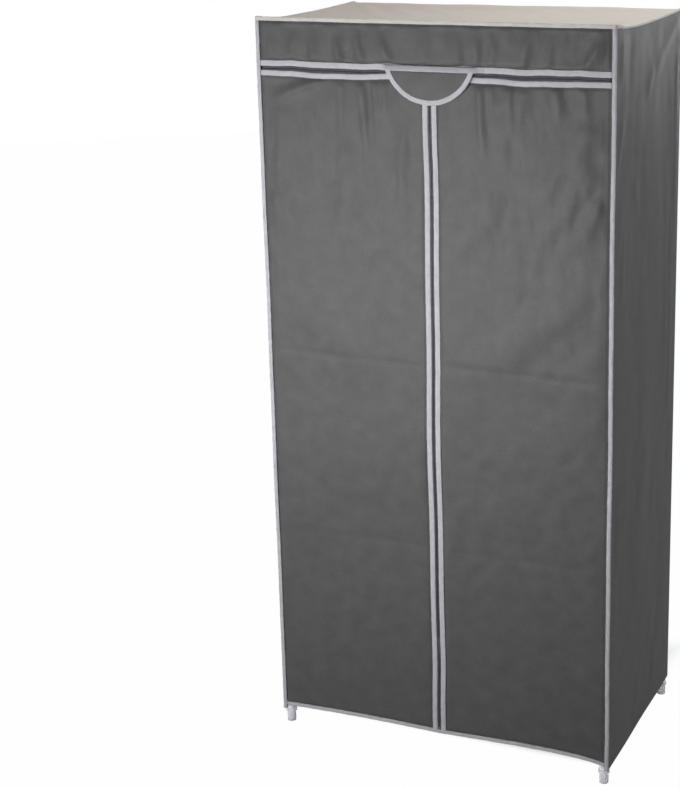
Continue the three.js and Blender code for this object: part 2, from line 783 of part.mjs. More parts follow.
// Zip tab: a segment of a circle, sewn to the header along its top and bent out over the pulls
function tabGeometry() {
  const radius = (tabHalfWidth ** 2 + tabDepth ** 2) / (2 * tabDepth);
  const centreZ = tabSpringZ - tabDepth + radius;
  const sweep = Math.asin(tabHalfWidth / radius);
  const arc = evenly(-sweep, sweep, tabArcSteps).map((angle) => ({
    x: Math.sin(angle),
    z: -Math.cos(angle),
  }));
  const chord = evenly(1, -1, tabChordSteps).slice(1, -1);
  const ring = (inset) => {
    const inner = radius - inset;
    const topZ = inset > 0 ? tabTopZ - tabBendLength - (inset - tabBindingWidth) : tabTopZ;
    const points = arc.map(({ x, z }) => [x * inner, Math.min(centreZ + z * inner, topZ)]);
    const end = points[points.length - 1][0];
    return [
      ...points.map(([x, z], index) => [x, index === 0 || index === tabArcSteps ? topZ : z]),
      ...chord.map((share) => [share * end, topZ]),
    ];
  };
  const rings = [ring(0), ring(tabBindingWidth), ring(tabBindingWidth + bindingStep)];
  const heights = rings.map((points, level) => points.map((_, index) =>
    (level < 2 && index > 0 && index < tabArcSteps ? tabBindingProud : 0)));
  const backAt = (z) => tabSeamY + (tabBackY - tabSeamY) * smooth((tabTopZ - z) / tabBendLength);
  const count = rings[0].length;
  const positions = [];
  const faces = [];
  for (const front of [true, false]) {
    rings.forEach((points, level) => points.forEach(([x, z], index) => {
      const out = front ? clothThickness + heights[level][index] : 0;
      positions.push(x, backAt(z) - out, z);
    }));
    const middleZ = tabSpringZ - tabDepth / 2;
    positions.push(0, backAt(middleZ) - (front ? clothThickness : 0), middleZ);
  }
  const layer = rings.length * count + 1;
  const add = (a, b, c, front) => (front ? faces.push(a, b, c) : faces.push(a, c, b));
  for (const front of [true, false]) {
    const base = front ? 0 : layer;
    for (let k = 0; k < count; k += 1) {
      const next = (k + 1) % count;
      for (let level = 0; level + 1 < rings.length; level += 1) {
        const outer = base + level * count;
        const inner = outer + count;
        add(outer + k, outer + next, inner + next, front);
        add(outer + k, inner + next, inner + k, front);
      }
      const last = base + (rings.length - 1) * count;
      add(last + k, last + next, base + rings.length * count, front);
    }
  }
  for (let k = 0; k < count; k += 1) {
    const next = (k + 1) % count;
    faces.push(k, layer + k, layer + next, k, layer + next, next);
  }
  const geometry = new THREE.BufferGeometry();
  geometry.setAttribute('position', new THREE.Float32BufferAttribute(positions, 3));
  geometry.setIndex(faces);
  geometry.computeVertexNormals();
  return geometry;
}

addCloth('zip_cover_tab', tabGeometry());

// A slider made upright at the origin: two plates, the bridge between them and lugs with a pin
function sliderGeometry(zipGap) {
  const half = zipGap / 2 - sliderSideGap;
  const end = sliderLength / 2;
  const shoulderShare = 0.6;
  const tailShare = 0.7;
  const outline = [
    [-half * tailShare, -end],
    [half * tailShare, -end],
    [half, -end * shoulderShare],
    [half, end * shoulderShare],
    [half * shoulderShare, end],
    [-half * shoulderShare, end],
    [-half, end * shoulderShare],
    [-half, -end * shoulderShare],
  ];
  const front = extrudedAlongY(outline, sliderFrontY, sliderFrontBackY);
  const rear = extrudedAlongY(outline, sliderRearFrontY, sliderRearFrontY + sliderPlate);
  const bite = sliderPlate / 2;
  const bridge = block(
    [-bridgeWidth / 2, sliderFrontBackY - bite, end - bridgeLength],
    [bridgeWidth / 2, sliderRearFrontY + bite, end - bite],
  );
  const lugs = [-1, 1].map((side) => {
    const outerX = side * half;
    const innerX = side * (half - lugThickness);
    return block(
      [Math.min(outerX, innerX), pinY - pinRadius - pullClearance, hingeRise - lugLength / 2],
      [Math.max(outerX, innerX), sliderFrontY + bite, hingeRise + lugLength / 2],
    );
  });
  const pinHalf = half - lugThickness / 2;
  const pin = aimed(
    turned([[0, -pinHalf], [pinRadius, -pinHalf], [pinRadius, pinHalf], [0, pinHalf]], pinSides),
    alongX,
  ).translate(0, pinY, hingeRise);
  return toGeometry(joined([front, rear, bridge, ...lugs, pin]));
}

// A pull made upright: a barrel round the pin, a neck and a slotted plate that hangs below
function pullGeometry(zipGap) {
  const barrelHalf = zipGap / 2 - sliderSideGap - lugThickness - pullClearance;
  const barrel = aimed(
    turned([
      [0, -barrelHalf],
      [barrelRadius, -barrelHalf],
      [barrelRadius, barrelHalf],
      [0, barrelHalf],
    ], pinSides),
    alongX,
  ).translate(0, pinY, hingeRise);
  const bore = aimed(
    turned([
      [0, -zipGap],
      [pinRadius + pullClearance, -zipGap],
      [pinRadius + pullClearance, zipGap],
      [0, zipGap],
    ], pinSides),
    alongX,
  ).translate(0, pinY, hingeRise);
  const half = Math.min(pullWidth, zipGap - 2 * sliderSideGap) / 2;
  const neckFoot = hingeRise - pullNeckLength;
  const foot = neckFoot - pullLength + half;
  const round = evenly(0, Math.PI, pinSides).map((angle) => [
    -half * Math.cos(angle),
    foot - half * Math.sin(angle),
  ]);
  const outline = [
    [-barrelHalf, hingeRise],
    [-barrelHalf, neckFoot],
    [-half, neckFoot - barrelHalf],
    ...round,
    [half, neckFoot - barrelHalf],
    [barrelHalf, neckFoot],
    [barrelHalf, hingeRise],
  ];
  const slotFoot = foot + pullSlotWidth;
  const slotTop = slotFoot + pullSlotLength;
  const slot = [
    [-pullSlotWidth / 2, slotFoot],
    [-pullSlotWidth / 2, slotTop],
    [pullSlotWidth / 2, slotTop],
    [pullSlotWidth / 2, slotFoot],
  ];
  const plate = extrudedAlongY(outline, pinY - pullThickness / 2, pinY + pullThickness / 2, [slot]);
  return toGeometry(cutFrom(joined([barrel, plate]), [bore]));
}

const zips = [
  { name: 'upright', gap: uprightZipGap, place: [0, 0, uprightSliderZ], turn: 0 },
  { name: 'left', gap: levelZipGap, place: [-levelSliderX, 0, doorTopZ + levelZipGap / 2], turn: -1 },
  { name: 'right', gap: levelZipGap, place: [levelSliderX, 0, doorTopZ + levelZipGap / 2], turn: 1 },
];

for (const { name, gap, place, turn } of zips) {
  const slider = addPiece(`zip_slider_${name}`, sliderGeometry(gap), zipMetal, 0.35, 0.9);
  const pull = addPiece(`zip_pull_${name}`, pullGeometry(gap), zipMetal, 0.35, 0.9);
  for (const piece of [slider, pull]) {
    piece.position.set(...place);
    piece.rotation.y = (turn * Math.PI) / 2;
  }
}

export default wardrobe;
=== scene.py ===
"""Looks of a portable fabric wardrobe: cloth cover, bindings and zips over a tube frame.

All lengths are in metres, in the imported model's frame: +Z is up, the doors face -Y and the
floor is at zero.
"""
import logging
import math
from dataclasses import dataclass, field
from enum import Enum
from typing import Any, Optional, Sequence

import bpy
import numpy as np
from bpy.types import ID, Material, Node, NodeSocket, Object
from mathutils import Matrix, Vector


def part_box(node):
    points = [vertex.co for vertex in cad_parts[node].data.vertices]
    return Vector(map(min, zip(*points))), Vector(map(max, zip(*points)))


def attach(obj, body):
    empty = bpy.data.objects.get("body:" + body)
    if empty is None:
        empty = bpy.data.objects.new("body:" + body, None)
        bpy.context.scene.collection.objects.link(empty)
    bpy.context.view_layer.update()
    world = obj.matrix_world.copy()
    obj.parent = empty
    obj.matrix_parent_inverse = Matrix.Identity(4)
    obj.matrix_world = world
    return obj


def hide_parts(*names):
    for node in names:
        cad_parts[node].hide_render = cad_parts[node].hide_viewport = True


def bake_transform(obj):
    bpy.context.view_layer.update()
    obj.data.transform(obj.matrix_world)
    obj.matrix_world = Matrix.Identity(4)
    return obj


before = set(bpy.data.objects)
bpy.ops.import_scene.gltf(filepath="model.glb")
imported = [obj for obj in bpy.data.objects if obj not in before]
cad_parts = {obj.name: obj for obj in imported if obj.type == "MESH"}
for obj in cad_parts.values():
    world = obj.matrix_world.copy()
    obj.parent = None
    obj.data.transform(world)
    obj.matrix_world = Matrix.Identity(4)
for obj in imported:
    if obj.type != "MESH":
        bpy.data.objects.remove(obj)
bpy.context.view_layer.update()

MM = 0.001
Array = np.ndarray
log = logging.getLogger("wardrobe")


class Side(Enum):
    """The two halves of the wardrobe, by the sign of X."""

    LEFT = -1
    RIGHT = 1

    @property
    def label(self) -> str:
        """The word that piece names carry."""
        return self.name.lower()


# Shares and shapes

def smooth(share: Array) -> Array:
    """Rises softly from 0 to 1 as the share does, and holds outside."""
    held = np.clip(share, 0, 1)
    return held * held * (3 - 2 * held)


def hump(share: Array) -> Array:
    """Half a sine wave over the share from 0 to 1."""
    return np.sin(np.pi * np.clip(share, 0, 1))


@dataclass(frozen=True)
class Fold:
    """A soft fold along a line on a panel, in millimetres; a negative height is a valley."""

    start: tuple[float, float]
    end: tuple[float, float]
    width: float
    height: float
    fade_in_share: float = 0.2
    fade_out_share: float = 0.5

    def at(self, u: Array, v: Array) -> Array:
        """Height of the fold over the panel.

        Args:
            u: Places across the panel.
            v: Places up the panel.

        Returns:
            How far the cloth stands out there.
        """
        start = np.array(self.start) * MM
        run = np.array(self.end) * MM - start
        length = np.hypot(*run)
        run = run / length
        along = ((u - start[0]) * run[0] + (v - start[1]) * run[1]) / length
        off = ((v - start[1]) * run[0] - (u - start[0]) * run[1]) / (self.width * MM)
        taper = smooth(along / self.fade_in_share) * smooth((1 - along) / self.fade_out_share)
        return self.height * MM * np.exp(-off ** 2) * taper


@dataclass(frozen=True)
class Crumple:
    """Soft random wrinkles of hung cloth, made of leaning waves, in millimetres."""

    seed: int
    height: float
    shortest: float = 45
    longest: float = 420
    lean: float = 40
    waves: int = 36

    def at(self, u: Array, v: Array) -> Array:
        """Height of the wrinkles over the panel.

        Args:
            u: Places across the panel.
            v: Places up the panel.

        Returns:
            How far the cloth stands out or in there.
        """
        draw = np.random.default_rng(self.seed)
        total = np.zeros(np.broadcast(u, v).shape)
        power = 0.0
        for _ in range(self.waves):
            length = self.shortest * (self.longest / self.shortest) ** draw.random()
            lean = math.radians(draw.normal(0, self.lean))
            phase = draw.random() * math.tau
            weight = length / self.longest
            across = u * math.cos(lean) + v * math.sin(lean)
            total += weight * np.cos(math.tau * across / (length * MM) + phase)
            power += weight ** 2 / 2
        field_height = total / math.sqrt(power)
        return self.height * MM * np.tanh(field_height)


# Materials

# A wave texture of scale 1 has a band every tau / 20 metres.
WAVE_UNIT = math.tau / 20


def linear(hex_code: str) -> tuple[float, float, float, float]:
    """Turns an sRGB hex colour into the linear values that a shader takes.

    Args:
        hex_code: A colour such as "#606062".

    Returns:
        Red, green, blue and alpha.
    """
    values = [int(hex_code[i:i + 2], 16) / 255 for i in (1, 3, 5)]
    curve = [c / 12.92 if c <= 0.04045 else ((c + 0.055) / 1.055) ** 2.4 for c in values]
    return (*curve, 1.0)


def add_node(material: ID, kind: str, inputs: Optional[dict] = None, **settings: Any) -> Node:
    """Adds a shader node with its settings and links.

    Args:
        material: The material, or the world, whose tree gets the node.
        kind: The node's type name.
        inputs: Values by input name or number; a socket is linked, anything else is set.
        settings: Properties of the node itself.

    Returns:
        The new node.
    """
    tree = material.node_tree
    node = tree.nodes.new(kind)
    for name, value in settings.items():
        setattr(node, name, value)
    for key, value in (inputs or {}).items():
        if isinstance(value, NodeSocket):
            tree.links.new(value, node.inputs[key])
        else:
            node.inputs[key].default_value = value
    return node


def new_material(name: str, **values: Any) -> tuple[Material, Node]:
    """Makes an empty material with one principled shader.

    Args:
        name: The real material and how its surface was made.
        values: Uniform values for the shader's sockets, with _ for each space.

    Returns:
        The material and its shader node.
    """
    material = bpy.data.materials.new(name)
    material.use_nodes = True
    material.node_tree.nodes.clear()
    inputs = {key.replace("_", " "): value for key, value in values.items()}
    shader = add_node(material, "ShaderNodeBsdfPrincipled", inputs)
    add_node(material, "ShaderNodeOutputMaterial", {"Surface": shader.outputs[0]})
    return material, shader


def noise_of(material: Material, place: NodeSocket, size: float, detail: float = 2) -> NodeSocket:
    """Adds soft noise whose blotches have a real size.

    Args:
        material: The material that gets it.
        place: The coordinates.
        size: The blotches' size.
        detail: How many finer octaves it has.

    Returns:
        The noise, from 0 to 1.
    """
    inputs = {"Vector": place, "Scale": 1 / size, "Detail": detail}
    return add_node(material, "ShaderNodeTexNoise", inputs).outputs["Fac"]


def coloured(
    material: Material, shader: Node, share: NodeSocket, shade: str, light: str
) -> None:
    """Colours a shader with a mix of two shades.

    Args:
        material: The material.
        shader: Its principled shader.
        share: How much of the lighter shade shows.
        shade: The darker shade, as sRGB hex.
        light: The lighter shade, as sRGB hex.
    """
    inputs = {0: share, 6: linear(shade), 7: linear(light)}
    mix = add_node(material, "ShaderNodeMix", inputs, data_type="RGBA")
    material.node_tree.links.new(mix.outputs[2], shader.inputs["Base Color"])


def bumped(material: Material, shader: Node, layers: Sequence[tuple[NodeSocket, float]]) -> None:
    """Stacks bumps on a shader.

    Args:
        material: The material.
        shader: Its principled shader.
        layers: Pairs of a height socket and its depth in metres, the coarsest first.
    """
    below = None
    for height, depth in layers:
        inputs = {"Height": height, "Distance": depth, "Strength": 1.0}
        if below is not None:
            inputs["Normal"] = below
        below = add_node(material, "ShaderNodeBump", inputs).outputs[0]
    material.node_tree.links.new(below, shader.inputs["Normal"])


@dataclass(frozen=True)
class SpunbondCloth:
    """Spunbond polypropylene: non-woven felt of loose fibres, welded in a grid of small dots."""

    name: str
    shade: str
    light: str
    roughness: float = 0.5
    specular: float = 0.25
    # Real weld dots are about 1 mm apart: drawn coarser, so that they show as a fine grain.
    dot_spacing: float = 1.9 * MM
    dot_depth: float = 0.09 * MM
    fibre_size: float = 3.2 * MM
    fibre_depth: float = 0.35 * MM
    cloud_size: float = 34 * MM

    def make(self) -> Material:
        """Builds the cloth: fibre clouds in its colour, dots and fibres in its bump.

        Returns:
            The material.
        """
        material, shader = new_material(
            self.name, Roughness=self.roughness, Specular_IOR_Level=self.specular,
        )
        place = add_node(material, "ShaderNodeUVMap", uv_map="UVMap").outputs[0]
        fibres = noise_of(material, place, self.fibre_size, 5.0)
        clouds = noise_of(material, place, self.cloud_size, 6.0)
        blend = add_node(material, "ShaderNodeMath", {0: fibres, 1: clouds}, operation="ADD")
        share = add_node(
            material, "ShaderNodeMapRange",
            {"Value": blend.outputs[0], "From Min": 0.35, "From Max": 1.65},
        )
        coloured(material, shader, share.outputs[0], self.shade, self.light)
        dots = add_node(
            material, "ShaderNodeTexVoronoi",
            {"Vector": place, "Scale": 1 / self.dot_spacing, "Randomness": 0.12},
        )
        pits = add_node(
            material, "ShaderNodeMapRange",
            {"Value": dots.outputs["Distance"], "From Min": 0.15, "From Max": 0.38},
            interpolation_type="SMOOTHSTEP",
        )
        layers = [(fibres, self.fibre_depth), (pits.outputs[0], self.dot_depth)]
        bumped(material, shader, layers)
        return material


@dataclass(frozen=True)
class BindingTape:
    """Folded polypropylene bias tape: pale, slightly glossy threads across its width."""

    name: str = "polypropylene_bias_tape_woven"
    shade: str = "#a5a4aa"
    light: str = "#c3c2c8"
    roughness: float = 0.62
    # Real ribs are about half as far apart: drawn coarser, so that they still show.
    rib_spacing: float = 0.9 * MM
    rib_depth: float = 0.12 * MM
    blotch: float = 14 * MM
    blotch_depth: float = 0.2 * MM

    def make(self) -> Material:
        """Builds the tape: ribs along its run, and a soft mottle painted lighter where its bump
        stands up, as painted shade standing in for the light and shade of puckers.

        Returns:
            The material.
        """
        material, shader = new_material(
            self.name, Roughness=self.roughness, Specular_IOR_Level=0.25, Sheen_Weight=0.04
        )
        place = add_node(material, "ShaderNodeUVMap", uv_map="UVMap").outputs[0]
        mottle_with_painted_shade = noise_of(material, place, self.blotch, 4.0)
        # Painted shade: the tape is lighter where this mottle's bump stands up, in place of the
        # light and shade on its puckers.
        coloured(material, shader, mottle_with_painted_shade, self.shade, self.light)
        ribs = add_node(
            material, "ShaderNodeTexWave",
            {"Vector": place, "Scale": WAVE_UNIT / self.rib_spacing, "Distortion": 0.4},
            bands_direction="Y",
        )
        layers = [(mottle_with_painted_shade, self.blotch_depth), (ribs.outputs["Fac"], self.rib_depth)]
        bumped(material, shader, layers)
        return material


@dataclass(frozen=True)
class PlainFinish:
    """A hard or thread finish with a faint grain: paint, moulded plastic, cast metal or nylon."""

    name: str
    shade: str
    light: str
    roughness: float
    metallic: float = 0.0
    coat: float = 0.0
    see_through: float = 0.0
    blotch: float = 25 * MM
    grain: float = 0.8 * MM
    grain_depth: float = 0.02 * MM

    def make(self) -> Material:
        """Builds the finish: blotches in its colour and a fine grain in its bump.

        Returns:
            The material.
        """
        material, shader = new_material(
            self.name, Roughness=self.roughness, Metallic=self.metallic,
            Transmission_Weight=self.see_through, Coat_Weight=self.coat, Coat_Roughness=0.3,
        )
        place = add_node(material, "ShaderNodeTexCoord").outputs["Object"]
        blotches = noise_of(material, place, self.blotch)
        coloured(material, shader, blotches, self.shade, self.light)
        bumped(material, shader, [(noise_of(material, place, self.grain), self.grain_depth)])
        return material


@dataclass(frozen=True)
class ZipWeave:
    """Polyester zip tape: dark warp threads in a fine twill."""

    name: str = "polyester_zip_tape_woven"
    shade: str = "#36363c"
    light: str = "#50505a"
    thread: float = 0.7 * MM
    thread_depth: float = 0.08 * MM

    def make(self) -> Material:
        """Builds the twill from one slanting wave.

        Returns:
            The material.
        """
        material, shader = new_material(self.name, Roughness=0.8, Sheen_Weight=0.1)
        place = add_node(material, "ShaderNodeUVMap", uv_map="UVMap").outputs[0]
        twill = add_node(
            material, "ShaderNodeTexWave",
            {"Vector": place, "Scale": WAVE_UNIT / self.thread, "Distortion": 0.3},
            bands_direction="DIAGONAL",
        ).outputs["Fac"]
        coloured(material, shader, twill, self.shade, self.light)
        bumped(material, shader, [(twill, self.thread_depth)])
        return material


class Finish(Enum):
    """Every finish on the wardrobe, each made once."""

    # Dark grey felt: a soft broad gloss that fades downwards, clouded where the fibres bunch.
    COVER = SpunbondCloth("polypropylene_cover_spunbond", shade="#424243", light="#5a5a5b")
    # The same felt, painted a warm pale grey as painted light from above, on which folds show only
    # as faint shades.
    ROOF = SpunbondCloth("polypropylene_roof_spunbond", shade="#b9b1a8", light="#cdc5bc")
    # Nearly black felt that swallows the light inside.
    SHELF = SpunbondCloth("polypropylene_shelf_spunbond", shade="#232326", light="#303034")
    # Cool pale tape: its ribs give a fine shimmer along every edge.
    TAPE = BindingTape()
    # The roof's tape is a little warmer and lighter.
    ROOF_TAPE = BindingTape("polypropylene_roof_tape_woven", shade="#bbb7b1", light="#d8d5d0")
    # Twisted thread: small soft highlights on each stitch.
    THREAD = PlainFinish("polyester_thread_twisted", "#bdbcc6", "#d2d1d8", 0.6)
    # Thread dyed like the felt: its seams show as fine relief.
    DARK_THREAD = PlainFinish("polyester_dark_thread_twisted", "#4d4d50", "#5d5d60", 0.65)
    # Dark twill: a matt band behind the teeth.
    ZIP_TAPE = ZipWeave()
    # Moulded nylon: smooth enough for a glint on each tooth.
    TEETH = PlainFinish("nylon_zip_coil_moulded", "#3a3a40", "#4a4a51", 0.42)
    # Tumbled zinc casting: a dull metal gleam with cloudy blotches.
    ZIP_METAL = PlainFinish(
        "zinc_alloy_die_cast", "#7e7f83", "#909196", 0.48, metallic=1.0, blotch=4 * MM
    )
    # Powder coat: orange-peel grain under a faint clear gloss.
    DARK_TUBE = PlainFinish(
        "steel_tube_powder_coated", "#232327", "#2d2d31", 0.42, coat=0.15, grain_depth=0.03 * MM
    )
    # Grey lacquer: smoother than powder coat, with a longer highlight.
    PALE_TUBE = PlainFinish(
        "steel_tube_grey_lacquered", "#aeb0b5", "#bcbec2", 0.38, coat=0.2, grain_depth=0.02 * MM
    )
    # Milky moulded polypropylene: light passes through it, so it nearly melts into white ground.
    PLASTIC = PlainFinish(
        "polypropylene_fitting_moulded",
        "#f0eff9",
        "#fbfaff",
        0.5,
        see_through=0.45,
        grain_depth=0.015 * MM,
    )

    def material(self) -> Material:
        """The finish as a Blender material, made at its first use."""
        return bpy.data.materials.get(self.value.name) or self.value.make()


# Mesh tools

def select_only(piece: Object) -> None:
    """Deselects everything and makes one piece selected and active.

    Args:
        piece: The piece to select.
    """
    bpy.ops.object.select_all(action="DESELECT")
    piece.select_set(True)
    bpy.context.view_layer.objects.active = piece


def apply_modifier(piece: Object, kind: str, **settings: Any) -> None:
    """Adds a modifier with its settings and applies it.

    Args:
        piece: The piece that gets it.
        kind: The modifier's type.
        settings: Its properties.
    """
    modifier = piece.modifiers.new(kind.title(), kind)
    for name, value in settings.items():
        setattr(modifier, name, value)
    select_only(piece)
    bpy.ops.object.modifier_apply(modifier=modifier.name)


def shade(piece: Object, degrees: float = 35) -> None:
    """Shades a piece smooth, with sharp edges past an angle."""
    select_only(piece)
    bpy.ops.object.shade_smooth_by_angle(angle=math.radians(degrees))


def face_out(piece: Object) -> None:
    """Turns the faces of closed shapes outwards.

    Args:
        piece: The piece, each of whose shells is closed.
    """
    select_only(piece)
    bpy.ops.object.mode_set(mode="EDIT")
    bpy.ops.mesh.select_all(action="SELECT")
    bpy.ops.mesh.normals_make_consistent(inside=False)
    bpy.ops.object.mode_set(mode="OBJECT")


def block(name: str, width: float, depth: float, height: float) -> Object:
    """Models a block about the origin, to be bevelled or joined to a piece.

    Args:
        name: The piece's name.
        width: Its size along X.
        depth: Its size along Y.
        height: Its size along Z.

    Returns:
        The block.
    """
    bpy.ops.object.select_all(action="DESELECT")
    bpy.ops.mesh.primitive_cube_add(size=1.0)
    made = bpy.context.object
    made.name = made.data.name = name
    made.data.transform(Matrix.Diagonal((width, depth, height, 1.0)))
    return made


def points_of(piece: Object) -> Array:
    """Reads a piece's points.

    Args:
        piece: The piece.

    Returns:
        A row of three numbers for each point.
    """
    flat = np.zeros(len(piece.data.vertices) * 3, np.float32)
    piece.data.vertices.foreach_get("co", flat)
    return flat.reshape(-1, 3).astype(float)


@dataclass
class MeshDraft:
    """Points and faces of one mesh, with UVs in metres, gathered before the piece is made."""

    points: list = field(default_factory=list)
    faces: list = field(default_factory=list)
    uvs: list = field(default_factory=list)
    paints: list = field(default_factory=list)
    count: int = 0

    def add_grid(
        self, points: Array, uv: Array, wrap: bool = False, caps: bool = False,
        keep: Optional[Array] = None,
    ) -> None:
        """Adds a grid of points as quads.

        Args:
            points: Rows by columns of points.
            uv: UVs for them, with one more column where the grid wraps.
            wrap: Whether the last column joins the first.
            caps: Whether a wrapped grid's two open ends get a face.
            keep: Which quads stay, where some are left out.
        """
        rows, columns = points.shape[:2]
        first = self.count
        self.points.extend(points.reshape(-1, 3).tolist())
        self.count += rows * columns
        spans = columns if wrap else columns - 1
        for i in range(rows - 1):
            for j in range(spans):
                if keep is not None and not keep[i, j]:
                    continue
                right = (j + 1) % columns
                low, high = first + i * columns, first + (i + 1) * columns
                self.faces.append((low + j, low + right, high + right, high + j))
                for a, b in ((i, j), (i, j + 1), (i + 1, j + 1), (i + 1, j)):
                    self.uvs.extend(uv[a, b])
                self.paints.append(0)
        if caps:
            for row in (0, rows - 1):
                self.faces.append(tuple(first + row * columns + j for j in range(columns)))
                self.uvs.extend(np.repeat(uv[row, 0][None], columns, 0).ravel())
                self.paints.append(0)

    def add_copies(self, seed: Object, frames: Sequence[Array], paint: int = 0) -> None:
        """Adds copies of a small piece.

        Args:
            seed: The piece, modelled at the origin.
            frames: Where each copy goes, as 4 by 4 matrices.
            paint: The number of their material.
        """
        base = np.c_[points_of(seed), np.ones(len(seed.data.vertices))]
        faces = [tuple(face.vertices) for face in seed.data.polygons]
        for matrix in frames:
            self.points.extend((base @ matrix.T)[:, :3].tolist())
            for face in faces:
                self.faces.append(tuple(self.count + corner for corner in face))
                self.uvs.extend(base[list(face), :2].ravel())
                self.paints.append(paint)
            self.count += len(base)

    def piece(self, name: str, *finishes: Finish) -> Object:
        """Makes the piece from what was gathered.

        Args:
            name: The piece's name.
            finishes: Its finishes, in the order of their numbers.

        Returns:
            The new object, smooth, at the origin.
        """
        mesh = bpy.data.meshes.new(name)
        mesh.from_pydata(self.points, [], self.faces)
        layer = mesh.uv_layers.new(name="UVMap")
        layer.data.foreach_set("uv", np.array(self.uvs, np.float32).ravel())
        for finish in finishes:
            mesh.materials.append(finish.material())
        mesh.polygons.foreach_set("material_index", np.array(self.paints, np.int32))
        mesh.polygons.foreach_set("use_smooth", np.ones(len(mesh.polygons), bool))
        mesh.validate()
        made = bpy.data.objects.new(name, mesh)
        bpy.context.scene.collection.objects.link(made)
        return made


def cloth_piece(
    name: str, finish: Finish, points: Array, uv: Array, out: Sequence[float],
    thickness: float, keep: Optional[Array] = None,
) -> Object:
    """Makes a sheet of cloth whose outer face lies on a grid of points.

    Args:
        name: The piece's name.
        finish: The cloth.
        points: Rows by columns of points of the outer face.
        uv: Their places on the flat cloth.
        out: The direction in which the outer face looks.
        thickness: The cloth's thickness, taken inwards.
        keep: Which quads stay, where some are cut out.

    Returns:
        The sheet, closed all round.
    """
    draft = MeshDraft()
    draft.add_grid(points, uv, keep=keep)
    sheet = draft.piece(name, finish)
    normals = np.zeros(len(sheet.data.polygons) * 3, np.float32)
    sheet.data.polygons.foreach_get("normal", normals)
    if normals.reshape(-1, 3).mean(0) @ np.array(out) < 0:
        sheet.data.flip_normals()
    apply_modifier(sheet, "SOLIDIFY", thickness=thickness, offset=-1.0)
    shade(sheet, 60)
    return sheet


def run_of(path: Array) -> tuple[Array, Array]:
    """Measures a path.

    Args:
        path: The path's points.

    Returns:
        The length of each step, and how far along the path each point is.
    """
    steps = np.linalg.norm(np.diff(path, axis=0), axis=1)
    return steps, np.concatenate([[0], np.cumsum(steps)])


def grid_of(us: Array, vs: Array) -> tuple[Array, Array]:
    """All pairs of two rows of numbers, as two arrays of rows by columns."""
    u, v = np.meshgrid(us, vs, indexing="ij")
    return u, v


def stitch_seed() -> Object:
    """Models one stitch at its first use: a short thread that dips into the cloth at both ends.

    Returns:
        The stitch, to be copied.
    """
    made = bpy.data.objects.get("stitch_seed")
    if made:
        return made
    bpy.ops.object.select_all(action="DESELECT")
    bpy.ops.mesh.primitive_ico_sphere_add(subdivisions=1, radius=1.0)
    made = bpy.context.object
    made.name = "stitch_seed"
    half_length, half_width, half_height = 1.25 * MM, 0.32 * MM, 0.26 * MM
    made.data.transform(Matrix.Diagonal((half_length, half_width, half_height, 1.0)))
    return made


def frames_along(
    path: Array, inward: Array, outward: Array, inset: float | Array,
    rise: float, pitch: float,
) -> list[Array]:
    """Places things along a path at an even pitch.

    Args:
        path: The path's points.
        inward: The direction from the edge into the cloth, at each point.
        outward: The direction out of the cloth, at each point.
        inset: How far in from the path they lie.
        rise: How far out they lie.
        pitch: The distance from one to the next.

    Returns:
        A 4 by 4 matrix for each, with X along the path and Z outwards.
    """
    line = path + inward * inset + outward * rise
    steps, along = run_of(line)
    places = np.arange(pitch / 2, along[-1] - pitch / 4, pitch)
    pick = [np.interp(places, along, column) for column in np.hstack([line, outward]).T]
    where, out = np.array(pick[:3]).T, np.array(pick[3:]).T
    slot = np.clip(np.searchsorted(along, places) - 1, 0, len(steps) - 1)
    tangent = (np.diff(line, axis=0) / steps[:, None])[slot]
    frames = []
    for point, run, face in zip(where, tangent, out):
        matrix = np.eye(4)
        matrix[:3, 0] = run
        matrix[:3, 1] = np.cross(face, run)
        matrix[:3, 2] = face
        matrix[:3, 3] = point
        frames.append(matrix)
    return frames


